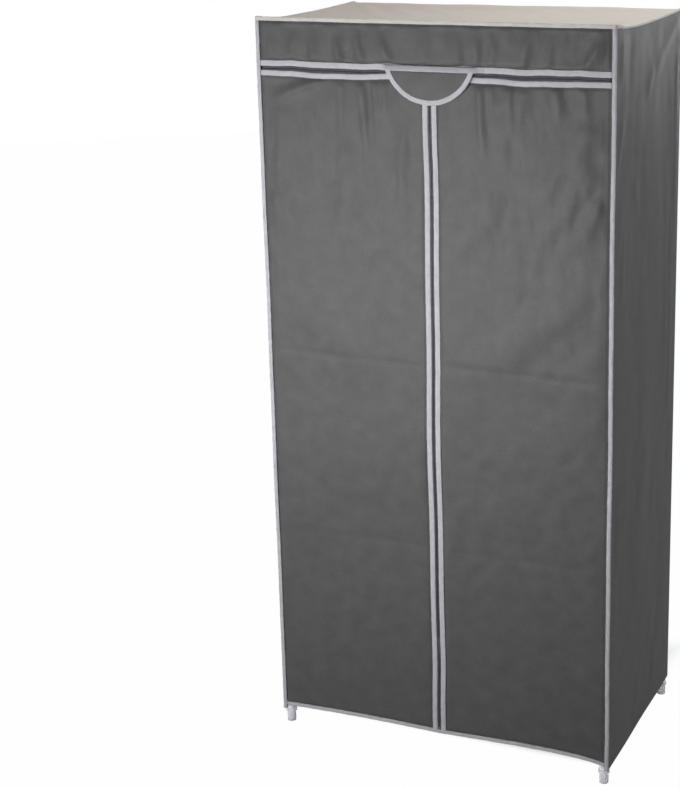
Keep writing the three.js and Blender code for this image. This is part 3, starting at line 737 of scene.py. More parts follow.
@dataclass(frozen=True)
class Binding:
    """Tape folded over a cloth edge and sewn down with one row of stitches."""

    width: float
    proud: float = 1.1 * MM
    back: float = 0.5 * MM
    wrap: float = 0.35 * MM
    cloth: float = 0.8 * MM
    shoulder: float = 1.0 * MM
    seam_inset: float = 2.0 * MM
    pitch: float = 3.4 * MM
    pucker: float = 0.34 * MM
    pucker_lengths: tuple[float, ...] = (13 * MM, 29 * MM, 71 * MM)

    def outline(self) -> Array:
        """Draws the tape's section.

        Returns:
            Rows of distance in from the edge and distance out of the cloth.
        """
        w, p, c, b, e = self.width, self.proud, self.cloth, self.back, self.wrap
        seam = w - self.seam_inset
        return np.array([
            (w, -c - 0.3 * b), (w, 0.25 * p), (w - 0.3 * self.shoulder, 0.8 * p),
            (w - self.shoulder, p), (seam, 0.72 * p), (seam - self.shoulder, p),
            (0.45 * w, 1.08 * p), (self.shoulder, p), (0, 0.72 * p), (-0.7 * e, 0.2 * p),
            (-e, -0.5 * c), (-0.7 * e, -c - 0.4 * b), (self.shoulder, -c - b),
            (seam, -c - b),
        ])

    def sew(
        self, name: str, path: Array, inward: Sequence[float], outward: Sequence[float],
        seed: int = 1, shares: float | Array = 1.0, finish: Finish = Finish.TAPE,
    ) -> Object:
        """Makes the tape along a cloth edge, puckered where the thread pulls it.

        Args:
            name: The piece's name.
            path: The points of the cloth's edge, on its outer face.
            inward: The direction from the edge into the cloth, one or one for each point.
            outward: The direction out of the cloth, one or one for each point.
            seed: Starts the puckers' random phases.
            shares: How much of the width shows, one or one for each point.
            finish: The tape's finish.

        Returns:
            The tape with its stitches.
        """
        inward = np.broadcast_to(np.array(inward, float), path.shape)
        outward = np.broadcast_to(np.array(outward, float), path.shape)
        along = run_of(path)[1]
        draw = np.random.default_rng(seed)
        phases = draw.random((2, 3)) * math.tau
        lengths = np.array(self.pucker_lengths)
        waves = np.sin(math.tau * along[:, None, None] / lengths + phases[None]).mean(2)
        section = self.outline()
        shares = np.broadcast_to(np.array(shares, float), (len(path),))[:, None]
        shift_in = section[None, :, 0] * shares + self.pucker * waves[:, :1]
        on_front = (section[:, 1] > 0).astype(float)
        shift_out = section[None, :, 1] + self.pucker * waves[:, 1:] * on_front[None]
        points = (
            path[:, None]
            + inward[:, None] * shift_in[..., None]
            + outward[:, None] * shift_out[..., None]
        )
        around = np.concatenate([[0], np.cumsum(np.hypot(*np.diff(
            np.vstack([section, section[:1]]), axis=0).T))])
        uv = np.stack(np.broadcast_arrays(around[None], along[:, None]), -1)
        draft = MeshDraft()
        draft.add_grid(points, uv, wrap=True, caps=True)
        seam = (self.width - self.seam_inset) * shares
        frames = frames_along(path, inward, outward, seam, 0.86 * self.proud, self.pitch)
        draft.add_copies(stitch_seed(), frames, paint=1)
        tape = draft.piece(name, finish, Finish.THREAD)
        face_out(tape)
        shade(tape, 50)
        return tape


def row_of_stitches(
    name: str, path: Array, outward: Sequence[float], finish: Finish, pitch: float = 3.6 * MM
) -> Object:
    """Makes a row of stitches sewn straight through the cloth.

    Args:
        name: The piece's name.
        path: The seam's points on the cloth's outer face.
        outward: The direction out of the cloth, one or one for each point.
        finish: The thread.
        pitch: The distance from one stitch to the next.

    Returns:
        All the stitches as one piece.
    """
    outward = np.broadcast_to(np.array(outward, float), path.shape)
    frames = frames_along(path, outward, outward, 0, 0.05 * MM, pitch)
    draft = MeshDraft()
    draft.add_copies(stitch_seed(), frames)
    return draft.piece(name, finish)


# The cover

@dataclass(frozen=True)
class CoverSizes:
    """Sizes that the pieces of the cover share, as on the solids."""

    half_width: float = 380 * MM
    half_depth: float = 225 * MM
    height: float = 1560 * MM
    cloth: float = 0.8 * MM
    hem_z: float = 30 * MM
    panel_edge: float = 371.4 * MM
    wall_top: float = 1558.2 * MM
    door_top: float = 1458.6 * MM
    header_foot: float = 1467.8 * MM
    level_zip: float = 1462 * MM
    zip_edge: float = 4.2 * MM
    hem_corner: float = 41.5 * MM
    hem_rise: float = 4.2 * MM
    hem_arch_left: float = 3 * MM
    hem_arch_right: float = 9 * MM
    hem_width: float = 8 * MM
    fold_top_x: float = 300 * MM
    fold_top_z: float = 1459 * MM
    fold_foot_x: float = 3.5 * MM
    fold_foot_z: float = 845 * MM
    fold_curl: float = 25 * MM
    top_drop: float = 7 * MM
    hem_lift_front: float = 4 * MM
    hem_lift_rear: float = 12 * MM
    turned_hem: float = 13 * MM
    door_centre_tape: float = 11 * MM
    door_top_tape: float = 10.4 * MM
    header_tape: float = 11.2 * MM
    level_zip_start: float = 34 * MM
    level_zip_end: float = 368 * MM
    level_zip_reach: float = 10 * MM
    upright_zip_foot: float = 47 * MM
    upright_zip_top: float = 1424 * MM
    upright_zip_reach: float = 11 * MM
    tape_step: float = 5 * MM
    zip_step: float = 6 * MM
    dip: float = 2.0 * MM
    dip_start: float = 60 * MM
    dip_end: float = 345 * MM
    upright_sway: float = 1.5 * MM
    upright_sway_foot: float = 90 * MM
    upright_sway_top: float = 1400 * MM
    level_sway: float = 1.1 * MM
    level_sway_start: float = 45 * MM
    level_sway_end: float = 335 * MM

    def side_share(self, y: Array) -> Array:
        """How far back a place on a side is, from 0 at the front to 1."""
        return np.clip((y + self.half_depth) / (2 * self.half_depth), 0, 1)

    def side_drop(self, y: Array) -> Array:
        """How far the side's top edge hangs down between the corners, most near the front."""
        share = self.side_share(y)
        return self.top_drop * hump(share ** 0.7) * smooth(share / 0.12)

    def side_foot(self, y: Array) -> Array:
        """Gives the height of a side's lower edge, which rises towards the back.

        Args:
            y: Places from front to back.

        Returns:
            The heights.
        """
        share = self.side_share(y)
        lift = self.hem_lift_front + (self.hem_lift_rear - self.hem_lift_front) * share
        return self.hem_z + lift + 1.2 * MM * np.sin(21 * y + 1) * hump(share)

    def top_dip(self, x: Array) -> Array:
        """How far the doors' top edges hang below their line between the ends of the zips."""
        share = np.clip((np.abs(x) - self.dip_start) / (self.dip_end - self.dip_start), 0, 1)
        return self.dip * hump(share ** 1.6)

    def hem_foot(self, x: Array) -> Array:
        """Gives the height of the hem's lower edge: low at the corners, arched under each door.

        Args:
            x: Places across the front.

        Returns:
            The heights.
        """
        share = np.clip((self.panel_edge - np.abs(x)) / (self.panel_edge - self.zip_edge), 0, 1)
        left = self.hem_arch_left * hump(share)
        right = self.hem_arch_right * hump(share ** 0.6)
        return self.hem_corner + self.hem_rise * share + np.where(x < 0, left, right)

    def upright_wander(self, z: Array) -> Array:
        """Makes the upright zip stray, and run straight where its slider parks.

        Args:
            z: Heights on the zip.

        Returns:
            How far it strays sideways there.
        """
        share = (z - self.upright_sway_foot) / (self.upright_sway_top - self.upright_sway_foot)
        waves = np.sin(math.tau * 1.45 * share + 0.4) + 0.5 * np.sin(math.tau * 3.7 * share)
        return self.upright_sway * waves * smooth(share / 0.1) * smooth((1 - share) / 0.1)

    def level_wander(self, x: Array) -> Array:
        """Makes the level zips stray, and run straight where their sliders park.

        Args:
            x: Places across the front.

        Returns:
            How far they stray up or down there.
        """
        away = np.abs(x) - self.level_sway_start
        share = away / (self.level_sway_end - self.level_sway_start)
        waves = np.sin(math.tau * 1.2 * share + 0.8) + 0.6 * np.sin(math.tau * 2.9 * share + x * 9)
        return self.level_sway * waves * smooth(share / 0.15) * smooth((1 - share) / 0.15)

    def front(self, x: Array, z: Array, out: Array) -> Array:
        """Points of the front, from X, Z and how far they stand out."""
        return np.stack(np.broadcast_arrays(x, -self.half_depth - out, z), -1)


SIZES = CoverSizes()


def evenly(start: float, end: float, step: float) -> Array:
    """Numbers from start to end, about a step apart."""
    return np.linspace(start, end, max(2, round(abs(end - start) / step) + 1))


def seamed(start: float, end: float, step: float) -> Array:
    """Spaces numbers out, closer along the seams at both ends.

    Args:
        start: The first number.
        end: The last one.
        step: About how far apart they are between the seams.

    Returns:
        The numbers.
    """
    fine, band = 1.7 * MM, 17 * MM
    return np.concatenate([
        evenly(start, start + band, fine)[:-1], evenly(start + band, end - band, step)[:-1],
        evenly(end - band, end, fine),
    ])


def seam_dip(gaps: Sequence[Array], depth: float = 1.3 * MM) -> Array:
    """How far the cloth dips where a seam pulls it in.

    Args:
        gaps: Distances from each seam's tape.
        depth: The dip's depth.

    Returns:
        The deepest dip at each place.
    """
    return depth * np.max([np.exp(-((gap - 1 * MM) / (3 * MM)) ** 2) for gap in gaps], axis=0)


def edge_fade(u: Array, low: float, high: float, reach: float = 40 * MM) -> Array:
    """Falls to nothing at both ends of a stretch."""
    return smooth((u - low) / reach) * smooth((high - u) / reach)


def corner_turn(gap: Array, radius: float) -> Array:
    """How far cloth falls back where it turns into a seam, never quite at a right angle."""
    near = np.clip(1 - gap / radius, 0, 1)
    return radius * (1 - np.sqrt(1 - near ** 2 * 0.98))


@dataclass
class Door:
    """One door: a sheet from the corner to the zip."""

    side: Side
    folds: Sequence[Fold]
    crumple: Crumple
    ripple: Crumple
    ripple_foot: float = 700 * MM
    ripple_rise: float = 600 * MM
    billow: float = 1.6 * MM
    deepest: float = -1.6 * MM
    highest: float = 7 * MM
    step: float = 5 * MM

    @property
    def flap(self) -> str:
        """The name of the body for the upper corner; no piece is put on it here."""
        return f"{self.side.label}_flap"

    def relief(self, u: Array, z: Array) -> Array:
        """Gives the relief of the door's cloth.

        Args:
            u: Distances from the middle of the front.
            z: Heights.

        Returns:
            How far the cloth stands out there.
        """
        sizes = SIZES
        foot = sizes.hem_foot(u * self.side.value) + sizes.hem_width
        shape = sum(fold.at(u, z) for fold in self.folds) + self.crumple.at(u, z)
        shape = shape + self.ripple.at(u, z) * smooth((z - self.ripple_foot) / self.ripple_rise)
        across = smooth((u - sizes.zip_edge) / (30 * MM))
        across = across * smooth((sizes.panel_edge - u) / (26 * MM))
        upright = smooth((z - foot) / (70 * MM)) * smooth((sizes.door_top - z) / (24 * MM))
        billow = self.billow * hump((z - foot) / (sizes.door_top - foot))
        raised = np.clip(shape + billow, self.deepest, self.highest) * across * upright
        gaps = (
            u - sizes.zip_edge - sizes.door_centre_tape,
            sizes.door_top - z - sizes.door_top_tape,
            sizes.panel_edge - u,
            z - foot,
        )
        return raised - seam_dip(gaps)

    def spot(self, u: Array, z: Array, out: Array) -> Array:
        """Places the door's points, its zip edges straying a little.

        Args:
            u: Distances from the middle of the front.
            z: Heights.
            out: How far the points stand out.

        Returns:
            The points.
        """
        sizes = SIZES
        near_zip = smooth(1 - (u - sizes.zip_edge) / (90 * MM))
        x = self.side.value * u + sizes.upright_wander(z) * near_zip
        near_top = smooth(1 - (sizes.door_top - z) / (60 * MM))
        return sizes.front(x, z + (sizes.level_wander(x) - sizes.top_dip(x)) * near_top, out)

    def bend(self, piece: Object) -> None:
        """Bakes a piece's place into its mesh; the fold line's direction is worked out but not
        used.

        Args:
            piece: A piece of this door.
        """
        sizes, sign = SIZES, self.side.value
        run_x = sizes.fold_foot_x - sizes.fold_top_x
        run = Vector((run_x, 0, sizes.fold_foot_z - sizes.fold_top_z))
        run.normalize()
        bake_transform(piece)

    def sheet(self) -> Object:
        """Makes the cloth of the door.

        Returns:
            The cloth.
        """
        sizes, name = SIZES, f"door_{self.side.label}_cloth"
        us = seamed(sizes.zip_edge + 0.4 * MM, sizes.panel_edge, self.step)
        height = sizes.door_top - sizes.hem_corner
        u, share = grid_of(us, seamed(0, height, self.step) / height)
        foot = sizes.hem_foot(u * self.side.value) + 2 * MM
        z = foot + (sizes.door_top - 0.4 * MM - foot) * share
        points = self.spot(u, z, self.relief(u, z))
        uv = np.stack([u * self.side.value, z], -1)
        sheet = cloth_piece(name, Finish.COVER, points, uv, (0, -1, 0), sizes.cloth)
        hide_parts(f"door_{self.side.label}_panel", f"door_{self.side.label}_flap")
        self.bend(sheet)
        return sheet

    def bindings(self) -> list[Object]:
        """Sews the tapes on the door's zip edge and its top edge.

        Returns:
            The two tapes.
        """
        sizes, label = SIZES, self.side.label
        zs = evenly(sizes.hem_corner + sizes.hem_rise + 2 * MM, sizes.door_top, sizes.tape_step)
        edge = self.spot(np.full(zs.shape, sizes.zip_edge), zs, np.zeros(zs.shape))
        centre = Binding(sizes.door_centre_tape).sew(
            f"door_{label}_centre_binding", edge, (self.side.value, 0, 0), (0, -1, 0), 3
        )
        us = evenly(sizes.zip_edge + 1 * MM, sizes.panel_edge, sizes.tape_step)
        edge = self.spot(us, np.full(us.shape, sizes.door_top), np.zeros(us.shape))
        top = Binding(sizes.door_top_tape, proud=1.25 * MM).sew(
            f"door_{label}_top_binding", edge, (0, 0, -1), (0, -1, 0), 4
        )
        for tape in (centre, top):
            self.bend(tape)
        return [centre, top]

    def build(self) -> None:
        """Makes the door's cloth, tapes and zip halves."""
        sheet = self.sheet()
        tapes = self.bindings()
        for zip_half in self.zip_halves():
            self.bend(zip_half)
            tapes.append(zip_half)
        log.info("door %s: cloth, %d tapes and zips", self.side.label, len(tapes))

    def zip_halves(self) -> list[Object]:
        """Makes this door's halves of the upright and the level zip.

        Returns:
            The upright half and the level one.
        """
        sizes, sign = SIZES, self.side.value
        zs = evenly(sizes.upright_zip_foot, sizes.upright_zip_top, sizes.zip_step)
        edge = self.spot(np.zeros(zs.shape), zs, np.zeros(zs.shape))
        shift = ZipHalf.offset(self.side is Side.RIGHT)
        upright = ZipHalf(f"zip_upright_{self.side.label}_half", shift).make(
            edge, (sign, 0, 0), (0, -1, 0), sizes.upright_zip_reach
        )
        level = ZipHalf(f"zip_level_{self.side.label}_lower_half", ZipHalf.offset(True)).make(
            level_zip_line(self.side), (0, 0, -1), (0, -1, 0), sizes.level_zip_reach
        )
        return [upright, level]


def level_zip_line(side: Side) -> Array:
    """Draws the middle line of the level zip over one door.

    Args:
        side: The door's side.

    Returns:
        Its points, from the tab outwards.
    """
    xs = evenly(SIZES.level_zip_start, SIZES.level_zip_end, SIZES.zip_step) * side.value
    return SIZES.front(xs, SIZES.level_zip + SIZES.level_wander(xs), np.zeros(xs.shape))


@dataclass(frozen=True)
class ZipHalf:
    """One side of a coil zip: a woven tape whose edge carries nylon teeth."""

    name: str
    start: float
    pitch: float = 1.7 * MM
    tooth_length: float = 2.5 * MM
    tooth_width: float = 1.0 * MM
    tooth_height: float = 1.2 * MM
    slot: float = 1.1 * MM
    tape_thickness: float = 0.9 * MM
    depth: float = 0.25 * MM

    @staticmethod
    def offset(far: bool) -> float:
        """How far along the first tooth stands: the two sides' teeth alternate."""
        return ZipHalf.pitch / 2 if far else 0.0

    def make(
        self, middle: Array, inward: Sequence[float], outward: Sequence[float], reach: float
    ) -> Object:
        """Makes the tape and its teeth along the zip's middle line.

        Args:
            middle: The middle line of the zip, on the cloth's outer face.
            inward: The direction from the middle line into this half's cloth.
            outward: The direction out of the cloth.
            reach: How far in the tape goes.

        Returns:
            The half as one piece.
        """
        inward = np.broadcast_to(np.array(inward, float), middle.shape)
        outward = np.broadcast_to(np.array(outward, float), middle.shape)
        front = self.depth - self.tooth_height / 2
        first = self.slot / 2
        section = np.array([
            (first, front), (reach, front), (reach, front - self.tape_thickness),
            (first, front - self.tape_thickness),
        ])
        points = (
            middle[:, None]
            + inward[:, None] * section[None, :, :1]
            + outward[:, None] * section[None, :, 1:]
        )
        along = run_of(middle)[1]
        around = np.array([0, reach, reach + self.tape_thickness, 2 * reach, 2 * reach + MM])
        uv = np.stack(np.broadcast_arrays(around[None], along[:, None]), -1)
        draft = MeshDraft()
        draft.add_grid(points, uv, wrap=True, caps=True)
        frames = frames_along(
            middle, inward, outward, self.slot / 2 + self.tooth_length / 2, front, self.pitch
        )
        for matrix in frames:
            matrix[:3, 3] += matrix[:3, 0] * self.start
        draft.add_copies(self.tooth(), frames, paint=1)
        half = draft.piece(self.name, Finish.ZIP_TAPE, Finish.TEETH)
        face_out(half)
        shade(half, 40)
        return half

    def tooth(self) -> Object:
        """Models one tooth at its first use: a rounded bar across the tape.

        Returns:
            The tooth, to be copied.
        """
        made = bpy.data.objects.get("tooth_seed")
        if made:
            return made
        made = block("tooth_seed", self.tooth_width, self.tooth_length, self.tooth_height)
        apply_modifier(made, "BEVEL", width=0.24 * MM, segments=1)
        return made


@dataclass(frozen=True)
class ZipStop:
    """The moulded stop that joins the upright zip's halves just over the hem."""

    width: float = 6 * MM
    depth: float = 2 * MM
    height: float = 8 * MM
    sunk: float = 0.4 * MM
    centre_z: float = 51 * MM

    def build(self) -> None:
        """Models the stop as a block with rounded edges."""
        stop = block("zip_bottom_stop", self.width, self.depth, self.height)
        place = (0, -SIZES.half_depth + self.sunk, self.centre_z)
        stop.data.transform(Matrix.Translation(place))
        apply_modifier(stop, "BEVEL", width=0.6 * MM, segments=2)
        shade(stop)
        stop.data.materials.append(Finish.TEETH.material())
        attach(stop, "root")
        log.info("zips: bottom stop")


@dataclass
class Header:
    """The band of cloth over the doors, from one corner to the other."""

    folds: Sequence[Fold]
    crumple: Crumple
    ripple: Crumple
    deepest: float = -1.6 * MM
    highest: float = 6 * MM
    seam_depth: float = 1.7 * MM
    step: float = 5 * MM

    def build(self) -> None:
        """Makes the band, its binding and its halves of the level zips."""
        sizes = SIZES
        us = seamed(-sizes.panel_edge, sizes.panel_edge, self.step)
        foot = sizes.header_foot + 0.4 * MM
        height = sizes.wall_top - foot
        u, share = grid_of(us, seamed(0, height, self.step) / height)
        z = foot + (sizes.wall_top - foot) * share
        shape = sum(fold.at(u, z) for fold in self.folds) + self.crumple.at(u, z)
        shape = shape + self.ripple.at(u, z)
        fade = edge_fade(z, sizes.header_foot + 9 * MM, sizes.wall_top, 12 * MM)
        relief = np.clip(shape, self.deepest, self.highest) * fade
        relief = relief * edge_fade(u, -sizes.panel_edge, sizes.panel_edge, 16 * MM)
        gaps = (
            sizes.wall_top - z,
            z - sizes.header_foot - sizes.header_tape,
            sizes.panel_edge - np.abs(u),
        )
        relief = relief - seam_dip(gaps, self.seam_depth)
        sway = sizes.level_wander(u) * smooth(1 - share * 1.3)
        sheet = cloth_piece(
            "cover_header_cloth", Finish.COVER, sizes.front(u, z + sway, relief),
            np.stack([u, z], -1), (0, -1, 0), sizes.cloth,
        )
        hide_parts("cover_header")
        xs = evenly(-sizes.panel_edge, sizes.panel_edge, sizes.tape_step)
        edge = sizes.front(xs, sizes.header_foot + sizes.level_wander(xs), np.zeros(xs.shape))
        pieces = [
            Binding(sizes.header_tape).sew("header_binding", edge, (0, 0, 1), (0, -1, 0), 5)
        ]
        for side in Side:
            half = ZipHalf(f"zip_level_{side.label}_upper_half", ZipHalf.offset(False)).make(
                level_zip_line(side), (0, 0, 1), (0, -1, 0), sizes.level_zip_reach
            )
            pieces.append(half)
        for piece in [sheet, *pieces]:
            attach(piece, "root")
        log.info("header: band, binding and two zip halves")


@dataclass
class SideWall:
    """A side of the cover, from the front corner's binding round to the rear seam."""

    side: Side
    folds: Sequence[Fold]
    crumple: Crumple
    billow: float = 2.2 * MM
    deepest: float = -1.2 * MM
    highest: float = 8 * MM
    step: float = 8 * MM
    rear_turn: float = 3.2 * MM

    def build(self) -> None:
        """Makes the wall and its corner binding."""
        sizes, sign, label = SIZES, self.side.value, self.side.label
        ys = np.concatenate([
            evenly(-sizes.half_depth + 1 * MM, sizes.half_depth - 6 * MM, self.step),
            evenly(sizes.half_depth - 4.5 * MM, sizes.half_depth - 0.6 * MM, 1 * MM),
        ])
        y, share = grid_of(ys, np.linspace(0, 1, 190))
        foot = sizes.side_foot(y)
        top = sizes.wall_top - sizes.side_drop(y)
        z = foot + (top - foot) * share
        rear = sizes.half_depth - y
        shape = sum(fold.at(rear, z) for fold in self.folds) + self.crumple.at(rear, z)
        billow = self.billow * hump(rear / (2 * sizes.half_depth)) * hump(share)
        fade = smooth((y + sizes.half_depth) / (22 * MM)) * smooth(rear / (16 * MM))
        fade = fade * smooth((z - foot) / (60 * MM)) * smooth((top - z) / (30 * MM))
        relief = np.clip(shape + billow, self.deepest, self.highest) * fade
        relief = relief - corner_turn(rear, self.rear_turn)
        points = np.stack([sign * (sizes.half_width + relief), y, z], -1)
        wall = cloth_piece(
            f"cover_side_{label}_cloth", Finish.COVER, points, np.stack([y * sign, z], -1),
            (sign, 0, 0), sizes.cloth,
        )
        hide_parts(f"cover_side_{label}")
        pieces = [self.corner(), self.hem_seam(ys)]
        for piece in [wall, *pieces]:
            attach(piece, "root")
        log.info("side %s: wall, corner binding and hem seam", label)

    def corner(self) -> Object:
        """Sews the upright binding on the front corner, a little wavy.

        Returns:
            The tape.
        """
        sizes, sign = SIZES, self.side.value
        zs = evenly(sizes.hem_z + 3 * MM, sizes.height + 5 * MM, sizes.tape_step)
        share = (zs - zs[0]) / (zs[-1] - zs[0])
        waves = np.sin(math.tau * 2.3 * share + sign) + 0.6 * np.sin(math.tau * 5.1 * share)
        sway = 0.7 * MM * waves * edge_fade(zs, zs[0], zs[-1], 60 * MM)
        x = sign * (sizes.half_width + 0.3 * MM) + sway * 0.6
        edge = np.stack(np.broadcast_arrays(x, -sizes.half_depth, zs), -1)
        return Binding(8.2 * MM, proud=1.5 * MM, back=1.4 * MM, wrap=0.6 * MM).sew(
            f"corner_{self.side.label}_binding", edge, (-sign, 0, 0), (0, -1, 0), 7
        )

    def hem_seam(self, ys: Array) -> Object:
        """Stitches the turned hem at the wall's foot.

        Args:
            ys: Places along the wall, from its front to its back.

        Returns:
            The row of stitches.
        """
        sign = self.side.value
        heights = SIZES.side_foot(ys[1:-1]) + SIZES.turned_hem
        path = np.stack(np.broadcast_arrays(sign * SIZES.half_width, ys[1:-1], heights), -1)
        return row_of_stitches(
            f"side_{self.side.label}_hem_stitches", path, (sign, 0, 0), Finish.DARK_THREAD
        )


@dataclass
class BackWall:
    """The back of the cover: one plain sheet that turns into the side seams."""

    crumple: Crumple
    folds: Sequence[Fold] = ()
    billow: float = 3 * MM
    deepest: float = -1.2 * MM
    highest: float = 8 * MM
    hem_arch: float = 9 * MM
    top_seam: float = 9 * MM
    step: float = 9 * MM
    turn: float = 3.2 * MM

    def build(self) -> None:
        """Makes the sheet and its seams."""
        sizes = SIZES
        half = sizes.half_width
        xs = np.concatenate([
            evenly(-half + 0.6 * MM, -half + 4.5 * MM, 1 * MM),
            evenly(-half + 6 * MM, half - 6 * MM, self.step),
            evenly(half - 4.5 * MM, half - 0.6 * MM, 1 * MM),
        ])
        x, share = grid_of(xs, np.linspace(0, 1, 170))
        foot = sizes.side_foot(sizes.half_depth) - self.hem_arch * hump((x + half) / (2 * half))
        z = foot + (sizes.wall_top - foot) * share
        shape = sum((fold.at(x, z) for fold in self.folds), self.crumple.at(x, z))
        billow = self.billow * hump((x + half) / (2 * half)) * hump(z / sizes.height)
        fade = edge_fade(x, -half, half, 30 * MM)
        fade = fade * edge_fade(z, sizes.hem_z, sizes.wall_top, 50 * MM)
        relief = np.clip(shape + billow, self.deepest, self.highest) * fade
        relief = relief - corner_turn(half - np.abs(x), self.turn)
        points = np.stack([x, sizes.half_depth + relief, z], -1)
        sheet = cloth_piece(
            "cover_back_cloth", Finish.COVER, points, np.stack([x, z], -1), (0, 1, 0), sizes.cloth
        )
        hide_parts("cover_back")
        seams = []
        hem = sizes.side_foot(sizes.half_depth) + sizes.turned_hem
        for label, height in (("hem", hem), ("top", sizes.wall_top - self.top_seam)):
            path = np.stack(np.broadcast_arrays(xs[6:-6], sizes.half_depth, height), -1)
            seam = row_of_stitches(f"back_{label}_stitches", path, (0, 1, 0), Finish.DARK_THREAD)
            seams.append(seam)
        for piece in [sheet, *seams]:
            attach(piece, "root")
        log.info("back: sheet and two seams")


@dataclass
class Roof:
    """The roof, painted paler as painted light from above: a sheet over the top rails, bound along
    its front and sides.
    """

    crumple: Crumple
    folds: Sequence[Fold]
    sag: float = 4 * MM
    side_lip: float = 2.6 * MM
    front_lip: float = 4 * MM
    lip_width: float = 12 * MM
    deepest: float = -2 * MM
    highest: float = 3 * MM
    step: float = 8 * MM
    corner_radius: float = 4 * MM
    tape_width: float = 8 * MM
    tape_step: float = 6 * MM

    def edge_drop(self, x: Array, y: Array) -> Array:
        """How far the roof hangs at a place near its left or right edge."""
        return SIZES.side_drop(y) * smooth(1 - (SIZES.half_width - np.abs(x)) / (22 * MM))

    def build(self) -> None:
        """Makes the roof's sheet and binding."""
        sizes = SIZES
        x, y = grid_of(
            evenly(-sizes.half_width + 1.5 * MM, sizes.half_width - 1.5 * MM, self.step),
            evenly(-sizes.half_depth + 1.5 * MM, sizes.half_depth, self.step),
        )
        inside = edge_fade(x, -352 * MM, 352 * MM, 60 * MM)
        inside = inside * edge_fade(y, -200 * MM, 200 * MM, 60 * MM)
        shape = sum(fold.at(x, y) for fold in self.folds) + self.crumple.at(x, y)
        near = edge_fade(x, -sizes.half_width, sizes.half_width, 14 * MM) * smooth(
            (y + sizes.half_depth) / (14 * MM))
        side_lip = self.side_lip * smooth(1 - (sizes.half_width - np.abs(x)) / self.lip_width)
        front_lip = self.front_lip * smooth(1 - (y + sizes.half_depth) / self.lip_width)
        turn_up = np.maximum(side_lip, front_lip)
        z = sizes.height + turn_up - self.sag * inside - self.edge_drop(x, y)
        z = z + np.clip(shape, self.deepest, self.highest) * near
        points = np.stack([x, y, z], -1)
        # The roof's felt is painted pale: painted light from above on the same grey felt.
        sheet = cloth_piece(
            "cover_roof_cloth", Finish.ROOF, points, np.stack([x, y], -1), (0, 0, 1), sizes.cloth
        )
        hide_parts("cover_roof")
        tape = self.binding()
        for piece in (sheet, tape):
            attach(piece, "root")
        log.info("roof: sheet and binding")

    def binding(self) -> Object:
        """Sews the standing binding round the left, front and right edges.

        Returns:
            The tape.
        """
        sizes, radius = SIZES, self.corner_radius
        half_x, half_y = sizes.half_width + 0.4 * MM, sizes.half_depth + 1.0 * MM
        turns = np.linspace(0, math.pi / 2, 7)
        ys = evenly(half_y, -half_y + radius, self.tape_step)
        xs = evenly(-half_x + radius, half_x - radius, self.tape_step)
        left = np.stack([np.full(ys.shape, -half_x), ys], -1)
        bend = np.stack([-half_x + radius - radius * np.cos(turns),
                         -half_y + radius - radius * np.sin(turns)], -1)
        front = np.stack([xs, np.full(xs.shape, -half_y)], -1)
        flat = np.vstack([left, bend[1:-1], front[:-1], (bend * (-1, 1))[::-1][:-1],
                          (left * (-1, 1))[::-1]])
        tangent = np.gradient(flat, axis=0)
        tangent /= np.linalg.norm(tangent, axis=1)[:, None]
        outward = np.stack([tangent[:, 1], -tangent[:, 0], np.zeros(len(flat))], -1)
        # The tape stands tall along the front and lies lower down the sides.
        shares = 0.94 - 0.36 * smooth((flat[:, 1] + half_y - 12 * MM) / (45 * MM))
        foot = sizes.wall_top - 0.2 * MM - self.edge_drop(flat[:, 0], flat[:, 1])
        foot = foot + 0.4 * MM * np.sin(flat[:, 0] * 31) * np.sin(flat[:, 0] * 13 + 1)
        path = np.c_[flat, foot + self.tape_width * shares]
        return Binding(self.tape_width, proud=0.9 * MM, back=0.9 * MM, cloth=1.6 * MM).sew(
            "roof_binding", path, (0, 0, -1), outward, 9, shares, Finish.ROOF_TAPE
        )


@dataclass
class FrontHem:
    """The binding along the foot of the doors, one piece from corner to corner."""

    def build(self) -> None:
        """Sews the hem's binding."""
        sizes = SIZES
        xs = evenly(-sizes.panel_edge, sizes.panel_edge, sizes.tape_step)
        edge = sizes.front(xs, sizes.hem_foot(xs) + 0.3 * MM, np.zeros(xs.shape))
        tape = Binding(sizes.hem_width).sew("front_hem_binding", edge, (0, 0, 1), (0, -1, 0), 11)
        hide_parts("cover_front_hem")
        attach(tape, "root")
        log.info("front hem: binding")


